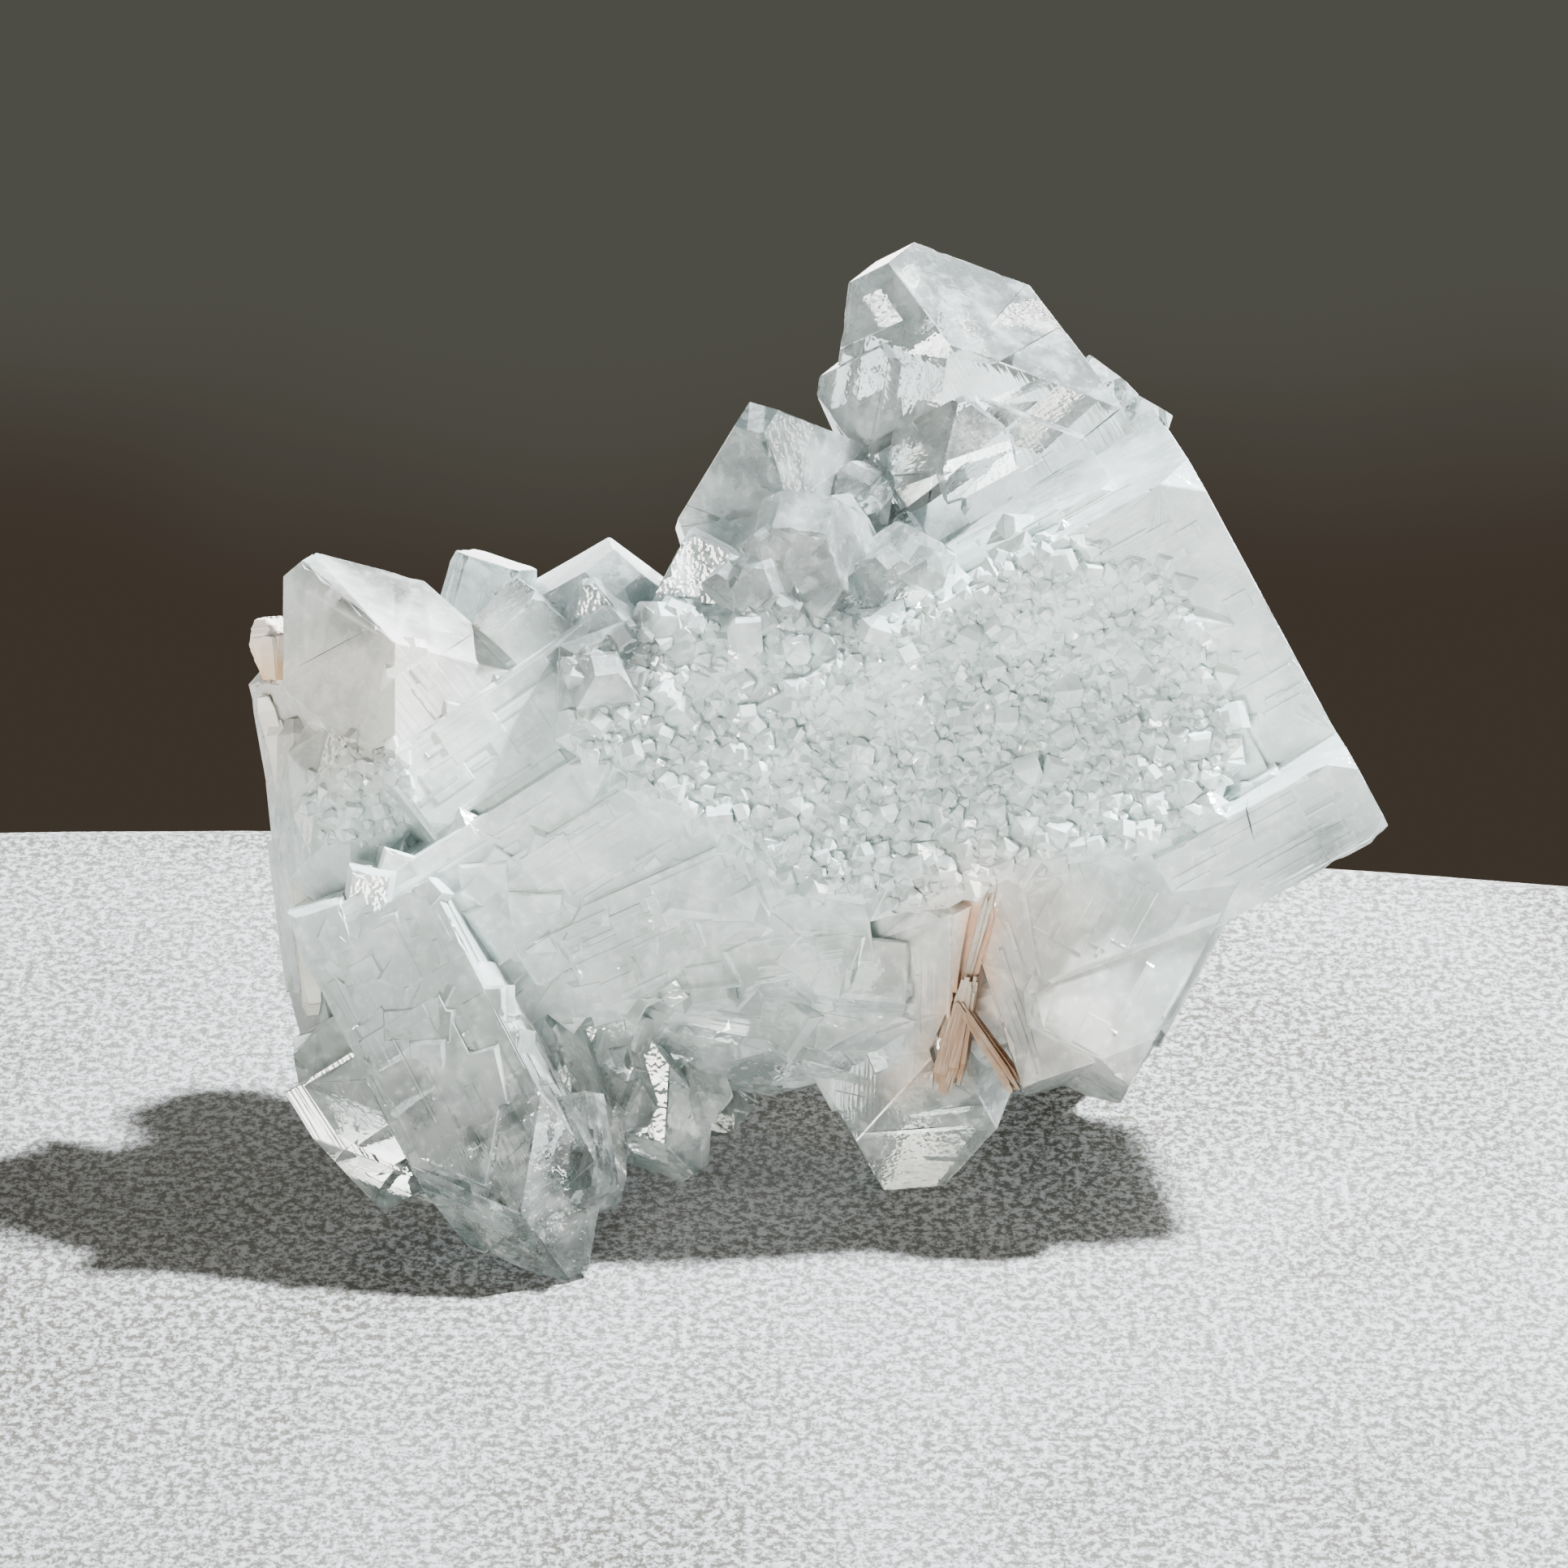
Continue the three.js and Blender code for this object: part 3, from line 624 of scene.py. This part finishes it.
# The large crystals with cracks: the row's number, and how many.
CRACKED = {0: 12, 2: 4, 6: 7, 10: 4, 11: 4, 12: 7, 13: 14, 14: 8, 15: 12, 16: 5}
clear_cracks = cracks(LARGE_CRYSTALS, list(CRACKED), list(CRACKED.values()))


def chips(mesh, count, sizes):
    """Bites with six points each, centred on the mesh's long sharp outer edges, longer along
    the edge than across it."""
    shape = bmesh.new()
    shape.from_mesh(mesh)
    sharp = [(edge.verts[0].co[:], edge.verts[1].co[:]) for edge in outer_edges(shape, bend=0.6, least=1.2)]
    shape.free()
    ends = lying(np.array(sharp).reshape(-1, 3)).reshape(-1, 2, 3)
    lengths = np.linalg.norm(ends[:, 1] - ends[:, 0], axis=1)
    pick = draw.choice(len(ends), count, p=lengths / lengths.sum())
    share = draw.random(count)[:, None]
    centres = ends[pick, 0] * (1 - share) + ends[pick, 1] * share
    frames = frames_round(ends[pick, 1] - ends[pick, 0], draw.uniform(0, np.pi, count))
    size = draw.uniform(*sizes, count) ** 1.6
    stretch = np.stack([size, size * draw.uniform(1, 6, count), size * 0.8], 1)
    corners = np.array([[1, 0, 0], [-1, 0, 0], [0, 1, 0], [0, -1, 0], [0, 0, 1], [0, 0, -1]])
    local = corners * stretch[:, None] * draw.uniform(0.7, 1.3, (count, 6, 1))
    return np.einsum("nvj,njk->nvk", local, frames) + centres[:, None]


# The faces of a small solid with three rings of four corners, and those of a chip.
RING_FACES = [[4 * r + c, 4 * r + (c + 1) % 4, 4 * (r + 1) + (c + 1) % 4, 4 * (r + 1) + c]
              for r in range(2) for c in range(4)] + [[3, 2, 1, 0], [8, 9, 10, 11]]
CHIP_FACES = [[0, 2, 4], [2, 1, 4], [1, 3, 4], [3, 0, 4], [2, 0, 5], [1, 2, 5], [3, 1, 5], [0, 3, 5]]


def rounds_apart(solids, most):
    """Sorts the solids into rounds so that no two in a round touch: in each round a solid is
    taken if its random rank beats the rank of every waiting solid near it. The few that still
    wait after the most rounds are left out."""
    centres = solids.mean(1)
    reach = np.linalg.norm(solids - centres[:, None], axis=2).max(1)
    square = (centres ** 2).sum(1)
    gaps = square[:, None] + square - 2 * centres @ centres.T
    near = gaps < (reach[:, None] + reach) ** 2
    rank = draw.permutation(len(solids)) + 1
    waiting = np.ones(len(solids), bool)
    while waiting.any() and most > 0:
        most -= 1
        best = np.where(near & waiting, rank, 0).max(1)
        taken = waiting & (best == rank)
        waiting &= ~taken
        yield np.flatnonzero(taken)


def solid_object(solids, faces):
    """One closed mesh object of many solids with the same faces, turned to face outwards and
    kept within the cluster's box."""
    faces = np.array(faces)
    first, second, third = (solids[0][faces[:, corner]] - solids[0].mean(0) for corner in range(3))
    if np.einsum("ij,ij->i", first, np.cross(second, third)).sum() < 0:
        faces = faces[:, ::-1]
    numbered = faces + solids.shape[1] * np.arange(len(solids))[:, None, None]
    mesh = bpy.data.meshes.new("small_solids")
    points = np.clip(standing(solids.reshape(-1, 3)), cad_low, cad_high)
    mesh.from_pydata(points.tolist(), [], numbered.reshape(-1, faces.shape[1]).tolist())
    thing = bpy.data.objects.new("small_solids", mesh)
    bpy.context.scene.collection.objects.link(thing)
    return thing


def carved(base, solids, faces, operation, most=14):
    """Joins all the solids to the base, or cuts them from it, round by round, so that the base
    stays one closed skin."""
    for taken in rounds_apart(solids, most):
        tool = solid_object(solids[taken], faces)
        step = base.modifiers.new("carve", "BOOLEAN")
        step.operation, step.solver, step.object = operation, "MANIFOLD", tool
        bpy.context.view_layer.update()
        mesh = bpy.data.meshes.new_from_object(base.evaluated_get(bpy.context.evaluated_depsgraph_get()))
        base.modifiers.clear()
        old, base.data = base.data, mesh
        bpy.data.meshes.remove(old)
        used = tool.data
        bpy.data.objects.remove(tool)
        bpy.data.meshes.remove(used)


def without_pillows(mesh):
    """Takes out each face that shares all its edges with one other face, and so holds nothing."""
    shape = bmesh.new()
    shape.from_mesh(mesh)
    flat = [face for face in shape.faces
            if len({other for edge in face.edges for other in edge.link_faces}) == 2]
    bmesh.ops.delete(shape, geom=flat, context="FACES")
    shape.to_mesh(mesh)
    shape.free()


cluster = bpy.data.objects.new("apophyllite_crystals", cluster_mesh.copy())
bpy.context.scene.collection.objects.link(cluster)
# Of the front blades, only the upper one is closed in by stone.
closing = grown_round(FRONT_BLADES[2:], more=0.36, sunk=0.5)
grown = np.concatenate([medium, beside, closing])
worn_edges(cluster.data, least=2.2, width=0.06)
carved(cluster, lumps, RING_FACES, "UNION")
carved(cluster, grown, RING_FACES, "UNION")
carved(cluster, chips(cluster.data, count=900, sizes=(0.08, 0.5)), CHIP_FACES, "DIFFERENCE")
carved(cluster, plates, RING_FACES, "UNION")
carved(cluster, clear_cracks, RING_FACES, "DIFFERENCE")
for crust in (coarse, rear, sugar):
    carved(cluster, crust, RING_FACES, "UNION")
without_pillows(cluster.data)

# How clear the stone is: places in the layout with a radius, and the clearness within it,
# which fades to 0 over twice the radius.
CLEAR_SPOTS = np.array([
    [9, 24, -3, 8.5, 0.9], [4, 18, -2, 4, 0.86], [0, 15.6, 6, 5.6, 0.86], [3.5, 14, 7, 4, 0.84],
    [-10, 10.6, 3, 4, 0.84], [-16.4, 12, -3, 2.4, 0.86], [-9.5, 7, 8, 2.4, 0.84],
    [-21.6, 10.6, 3, 3.2, 0.8], [-19.4, 9.2, 4, 2.2, 0.6], [18, 22, -5, 3, 0.7],
    [29.5, -3, 2, 3.6, 0.8], [-13, -24, 9, 7, 0.86], [-17, -21, 5, 5, 0.8],
    [6.8, -20, -2, 6.5, 0.62], [-6, -20, 4, 5, 0.7], [7.6, -7, 6, 1.6, 1], [-7.6, -6.8, 7, 0.9, 0.8],
])
# Where the stone is a little warm, beside the stilbite and in the left crown.
WARM_SPOTS = np.array([[-22, 6, 4, 4.6], [11, -9, 6, 4], [-27, 4, 0, 3], [15, -14, 6, 3]])


def near_spots(points, spots, strength=1):
    """The strength inside the nearest spot's radius, falling smoothly to 0 at twice the radius."""
    gap = np.linalg.norm(points[:, None] - spots[:, :3], axis=2) / spots[:, 3]
    share = np.clip(2 - gap, 0, 1)
    return (share * share * (3 - 2 * share) * strength).max(1)


def near_lines(points, lines, reach):
    """1 on the nearest line and 0 at the reach from it: the point is dropped onto each line,
    and the foot is kept between the line's ends."""
    span = lines[:, 1] - lines[:, 0]
    share = np.einsum("nlk,lk->nl", points[:, None] - lines[:, 0], span) / (span ** 2).sum(1)
    foot = lines[:, 0] + np.clip(share, 0, 1)[..., None] * span
    return np.clip(1 - np.linalg.norm(points[:, None] - foot, axis=2).min(1) / reach, 0, 1)


def give_attribute(mesh, name, kind, domain, values):
    """Writes the values into a named attribute of the mesh."""
    attribute = mesh.attributes.new(name, kind, domain)
    field = "value" if kind == "FLOAT" else "vector"
    attribute.data.foreach_set(field, np.asarray(values, np.float32).ravel())


def face_data(mesh):
    """The middle, normal, size, corner points and area of every face as arrays, in the layout."""
    count = len(mesh.polygons)
    middles, normals, areas = np.empty(count * 3), np.empty(count * 3), np.empty(count)
    mesh.polygons.foreach_get("area", areas)
    mesh.polygons.foreach_get("center", middles)
    mesh.polygons.foreach_get("normal", normals)
    sizes = np.empty(count, int)
    mesh.polygons.foreach_get("loop_total", sizes)
    corners = np.empty(len(mesh.loops), int)
    mesh.loops.foreach_get("vertex_index", corners)
    middles, normals = lying(middles.reshape(-1, 3)), normals.reshape(-1, 3) @ UPRIGHT
    return middles, normals, sizes, corners, areas / MM ** 2


def grain_of(mesh, rows):
    """For every face corner, how far across and along its crystal it lies, with the crystal's
    number. For every face, whether it is striated, as only the long faces are, and a random
    tone, which is a half on all but the small faces."""
    middles, normals, sizes, corners, areas = face_data(mesh)
    owner, match = owners_of(middles, normals, rows)
    face_of = np.repeat(np.arange(len(sizes)), sizes)
    along = crystal_axes(rows)[owner[face_of], 1]
    points = lying(mesh_points(mesh))[corners]
    across = np.cross(along, normals[face_of])
    across /= np.maximum(np.linalg.norm(across, axis=1), 1e-6)[:, None]
    grain = np.stack([np.einsum("ij,ij->i", points, across), np.einsum("ij,ij->i", points, along),
                      owner[face_of] * 7.3], 1)
    return grain, (match > SAME_FACE).astype(float), np.where(areas < 0.9, draw.random(len(areas)), 0.5)


mesh = cluster.data
places = lying(mesh_points(mesh))
# The stone clears a little downwards: the foot of the body is half as clear as a clear tip.
low_down = np.clip((-4 - places[:, 1]) / 12, 0, 1) * 0.5
clearness = np.maximum(near_spots(places, CLEAR_SPOTS, CLEAR_SPOTS[:, 4]), low_down)
give_attribute(mesh, "clear", "FLOAT", "POINT", clearness)
# The stain follows each front blade from a quarter of its length behind the tip to its root.
blade_ways = crystal_axes(FRONT_BLADES)[:, None, 1]
stain_lines = FRONT_BLADES[:, None, :3] - blade_ways * (FRONT_BLADES[:, 8:] * [0.25, 1])[..., None]
give_attribute(mesh, "peach", "FLOAT", "POINT", near_lines(places, stain_lines, 2.1))
give_attribute(mesh, "warm", "FLOAT", "POINT", near_spots(places, WARM_SPOTS))
grain, striated, facet = grain_of(mesh, LARGE_CRYSTALS)
give_attribute(mesh, "facet", "FLOAT", "FACE", facet)
give_attribute(mesh, "grain", "FLOAT_VECTOR", "CORNER", grain)
give_attribute(mesh, "striated", "FLOAT", "FACE", striated)

# The stone's colours, and its index of refraction.
COOL_WHITE, BRIGHT_WHITE = (0.845, 0.95, 0.945, 1), (0.915, 0.985, 0.98, 1)
# The low grey is painted shade that darkens the foot of the body, not a colour of the stone.
PAINTED_SHADE_GREY, CLEAR_TINT = (0.54, 0.575, 0.55, 1), (0.955, 0.995, 0.995, 1)
WARM_TINT, STAINED = (0.92, 0.87, 0.83, 1), (0.86, 0.56, 0.38, 1)
APOPHYLLITE_IOR = 1.535

apophyllite, crystal_surface = finish_material("apophyllite", (0.93, 0.97, 0.98), 0.08)
crystal_surface.inputs["IOR"].default_value = APOPHYLLITE_IOR
add, link = node_maker(apophyllite.node_tree), apophyllite.node_tree.links.new
millimetres = stretched(add, add("ShaderNodeTexCoord").outputs["Object"], (1000, 1000, 1000))
clear, warm, peach, striated, facet = (
    add("ShaderNodeAttribute", {"attribute_name": name}).outputs["Fac"]
    for name in ("clear", "warm", "peach", "striated", "facet"))
grain = add("ShaderNodeAttribute", {"attribute_name": "grain"}).outputs["Vector"]

# How much light the stone lets through: a lot where it is clear, less behind cloudy veils, and
# a little less in the clear tips high up, which are finely flawed.
cloud = noise_of(add, millimetres, 0.24, 3, 0.7)
speck = noise_of(add, millimetres, 1.9, 1, 0.65)
milky = reckoned(add, stepped(add, clear, 0, 1, 0.14, 0.88), "ADD",
                 reckoned(add, facet, "MULTIPLY", 0.3))
veil = reckoned(add, stepped(add, cloud, 0.42, 0.64, 0, 0.24), "ADD",
                stepped(add, speck, 0.55, 0.7, 0, 0.1))
rise = add("ShaderNodeSeparateXYZ", {}, Vector=millimetres).outputs["Z"]
flaws = reckoned(add, clear, "MULTIPLY", stepped(add, rise, 14, 26, 0, 0.16))
lost = reckoned(add, veil, "ADD", flaws)
link(reckoned(add, milky, "SUBTRACT", lost), crystal_surface.inputs["Transmission Weight"])
frost = reckoned(add, stepped(add, clear, 0, 1, 0.06, 0.01), "ADD",
                 stepped(add, cloud, 0.45, 0.65, 0, 0.07))
dull = reckoned(add, frost, "ADD", stepped(add, facet, 0.7, 1, 0, 0.08))
link(dull, crystal_surface.inputs["Roughness"])

# Its colour: cool white, greyed low down by painted shade, colourless where clear, warm and stained in
# places.
cool = blended(add, stepped(add, speck, 0.4, 0.7, 0, 0.5), COOL_WHITE, BRIGHT_WHITE)
# Painted shade: the base colour turns grey from 23 mm high down to 2 mm, standing in for the shade on the
# lower body.
deep = blended(add, stepped(add, rise, 2, 23, 1, 0), cool, PAINTED_SHADE_GREY)
glass = blended(add, stepped(add, clear, 0.2, 1, 0, 0.9), deep, CLEAR_TINT)
tint = blended(add, reckoned(add, warm, "MULTIPLY", 0.7), glass, WARM_TINT)
stain = reckoned(add, reckoned(add, peach, "MULTIPLY", 1.5), "MULTIPLY",
                 stepped(add, cloud, 0.35, 0.6, 0.5, 1))
link(blended(add, stain, tint, STAINED), crystal_surface.inputs["Base Color"])

# Its relief: fine lines along the long faces, and an even ripple on the others.
lengthwise = stretched(add, grain, (4.0, 0.09, 1.0))
all_ways = stretched(add, millimetres, (2.4, 2.4, 2.4))
run = add("ShaderNodeMix", {"data_type": "VECTOR"}, i0=striated, i4=all_ways, i5=lengthwise).outputs[1]
relief = noise_of(add, run, 1.0, 1, 0.7)
bump = add("ShaderNodeBump", {}, Strength=0.7, Distance=0.05 * MM, Height=relief)
link(bump.outputs[0], crystal_surface.inputs["Normal"])

# A faint blue-green that deepens with the thickness of the stone.
absorb = add("ShaderNodeVolumeAbsorption", {}, Color=(0.80, 0.90, 0.92, 1), Density=14.0)
link(absorb.outputs[0], apophyllite.node_tree.nodes["Material Output"].inputs["Volume"])

cluster.data.materials.clear()
cluster.data.materials.append(apophyllite)
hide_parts("apophyllite_cluster")
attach(cluster, "root")

# ---------------------------------------------------------------- the stilbite
# Thin pearly blades of stilbite, grown side by side in sheaves between the apophyllite
# crystals. Each blade is a bundle of fine laths that fan out from the root.

# The blades of each sheaf: the tip, heading, lean and roll, then width, thickness and length.
BLADES = {
    "stilbite_sheaf": FRONT_BLADES,
    "stilbite_bud": np.array([
        [-28.3, 9.2, -1, 96, 4, 62, 2.8, 1.3, 3.5], [-28.9, 8.4, -2.2, 106, -6, 70, 2.4, 1.1, 2.8],
        [-27.8, 8.2, 0.4, 88, 10, 52, 2.2, 1.1, 2.5]]),
    "stilbite_plate": np.array([
        [-25.5, -14.2, -2.4, -83, 2, 86, 6.4, 1.3, 17], [-25.7, -12.8, -6, -84, -12, 88, 5.4, 1.2, 15],
        [-25.7, -12.8, 0.8, -83, 10, 84, 4.2, 1.1, 15], [-27.8, 3.8, -2.6, 98, 2, 86, 5.6, 1.2, 12],
        [-28.5, 5, -1.2, 104, 8, 80, 3.2, 1.1, 9], [-27.5, 3.4, -6, 95, -14, 88, 4.4, 1.2, 11]]),
}


def laths(rows, each, halves):
    """Fine laths that fan out in each blade: a lath's root lies at half of its tip's distance
    from the blade's middle line, and its tip ends anywhere in the blade's last quarter."""
    index = np.repeat(np.arange(len(rows)), each)
    count = len(index)
    axes = crystal_axes(rows)[index]
    wide, thick, long = rows[index, 6], rows[index, 7], rows[index, 8]
    half = (halves[0] + (halves[1] - halves[0]) * draw.random(count) ** 2) * wide
    deep = np.minimum(half * draw.uniform(1.6, 3.4, count), thick * 0.45)
    across = draw.uniform(-1, 1, count) * (wide / 2 - half)
    tip = np.stack([across, -draw.uniform(0.0, 0.42, count) ** 1.6 * long,
                    draw.uniform(-1, 1, count) * (thick / 2 - deep)], 1)
    root = np.stack([across * 0.5, -draw.uniform(0.8, 1, count) * long, tip[:, 2]], 1)
    ways = np.einsum("nj,njk->nk", tip - root, axes)
    length = np.linalg.norm(ways, axis=1)
    side = np.cross(ways / length[:, None], axes[:, 2])
    frames = np.stack([side, ways / length[:, None], np.cross(side, ways / length[:, None])], 1)
    shape = np.empty((count, 3, 4, 3))
    shape[..., 0] = SQUARE[:, 0] * np.array([0.6, 1.0, 0.35])[:, None] * half[:, None, None]
    shape[..., 2] = SQUARE[:, 1] * np.array([0.8, 1.0, 0.6])[:, None] * deep[:, None, None]
    shape[..., 1] = -np.stack([length, draw.uniform(0.2, 1.2, count), np.zeros(count)], 1)[..., None]
    ends = rows[index, :3] + np.einsum("nj,njk->nk", tip, axes)
    return (np.einsum("nrcj,njk->nrck", shape, frames) + ends[:, None, None]).reshape(count, 12, 3)


def blade_grain(mesh, rows):
    """For every point, how far across and along the blade that it lies in, and that blade's
    number: the blade whose box it is least outside of."""
    points = lying(mesh_points(mesh))
    local = np.einsum("nbk,bjk->nbj", points[:, None] - rows[:, :3], crystal_axes(rows))
    local[..., 1] += rows[:, 8] / 2
    outside = np.maximum(np.abs(local) - rows[:, [6, 8, 7]] / 2, 0).sum(2)
    best = outside.argmin(1)
    chosen = local[np.arange(len(points)), best]
    return np.stack([chosen[:, 0], chosen[:, 1], best * 5.1], 1)


# How pale each sheaf is at heights in the layout: 0 is the stained colour, 1 the pale one.
PALENESS = {
    "stilbite_sheaf": ([-17, -15.8, -12.6, -11.1, -7.3], [0.6, 0.05, 0.1, 0.7, 1.0]),
    "stilbite_bud": ([5.4, 6.3, 7.0, 7.9], [0.15, 0.0, 0.5, 1.0]),
    "stilbite_plate": ([-14, -4, 2, 5], [0.5, 0.3, 1.0, 0.8]),
}


def stilbite_finish(name, stained, pale, streak):
    """Pearly stilbite: fine fibres along the blades in slightly different tones, between the
    stained and the pale colour, with a satin gloss."""
    material, surface = finish_material(name, stained, 0.42)
    surface.inputs["IOR"].default_value = 1.5
    add, link = node_maker(material.node_tree), material.node_tree.links.new
    along = add("ShaderNodeAttribute", {"attribute_name": "grain"}).outputs["Vector"]
    place = stretched(add, add("ShaderNodeTexCoord").outputs["Object"], (1000, 1000, 1000))
    fibre = noise_of(add, stretched(add, along, (7.0, 0.25, 1.0)), 1.0, 3, 0.65)
    patch = noise_of(add, place, 0.7, 3)
    share = add("ShaderNodeAttribute", {"attribute_name": "pale"}).outputs["Fac"]
    patchy = reckoned(add, share, "ADD", stepped(add, patch, 0.4, 0.7, -0.15, 0.15))
    body = blended(add, patchy, (*stained, 1), (*pale, 1))
    streaked = blended(add, stepped(add, fibre, 0.42, 0.68, 0, 0.55), body, (*streak, 1))
    link(streaked, surface.inputs["Base Color"])
    link(stepped(add, fibre, 0.3, 0.7, 0.5, 0.3), surface.inputs["Roughness"])
    bump = add("ShaderNodeBump", {}, Strength=0.7, Distance=0.08 * MM, Height=fibre)
    link(bump.outputs[0], surface.inputs["Normal"])
    return material


# Each sheaf's node and piece, the laths in a blade, the range of a lath's half width as a share
# of the blade's width, and the stained, the pale and the streak colour.
SHEAVES = (
    ("stilbite_sheaf", "front_sheaf_blades", 96, (0.04, 0.2),
     ((0.31, 0.185, 0.105), (0.60, 0.585, 0.52), (0.42, 0.30, 0.205))),
    ("stilbite_bud", "left_bud_blades", 24, (0.1, 0.26),
     ((0.84, 0.56, 0.30), (0.97, 0.93, 0.90), (0.93, 0.80, 0.66))),
    ("stilbite_plate", "left_plate_blades", 34, (0.05, 0.2),
     ((0.74, 0.74, 0.69), (0.88, 0.87, 0.81), (0.90, 0.91, 0.89))),
)
LATH_ROUNDS = 60

for node, blades, each, halves, colours in SHEAVES:
    low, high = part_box(node)
    fine = laths(BLADES[node], each, halves)
    fine = lying(np.clip(standing(fine), low, high).reshape(-1, 3)).reshape(-1, 12, 3)
    first, *others = rounds_apart(fine, LATH_ROUNDS)
    sheaf = solid_object(fine[first], RING_FACES)
    sheaf.name = sheaf.data.name = blades
    carved(sheaf, fine[np.concatenate(others)], RING_FACES, "UNION", LATH_ROUNDS)
    give_attribute(sheaf.data, "grain", "FLOAT_VECTOR", "POINT", blade_grain(sheaf.data, BLADES[node]))
    heights, shares = PALENESS[node]
    paleness = np.interp(lying(mesh_points(sheaf.data))[:, 1], heights, shares)
    give_attribute(sheaf.data, "pale", "FLOAT", "POINT", paleness)
    sheaf.data.materials.clear()
    sheaf.data.materials.append(stilbite_finish(blades, *colours))
    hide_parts(node)
    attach(sheaf, "root")
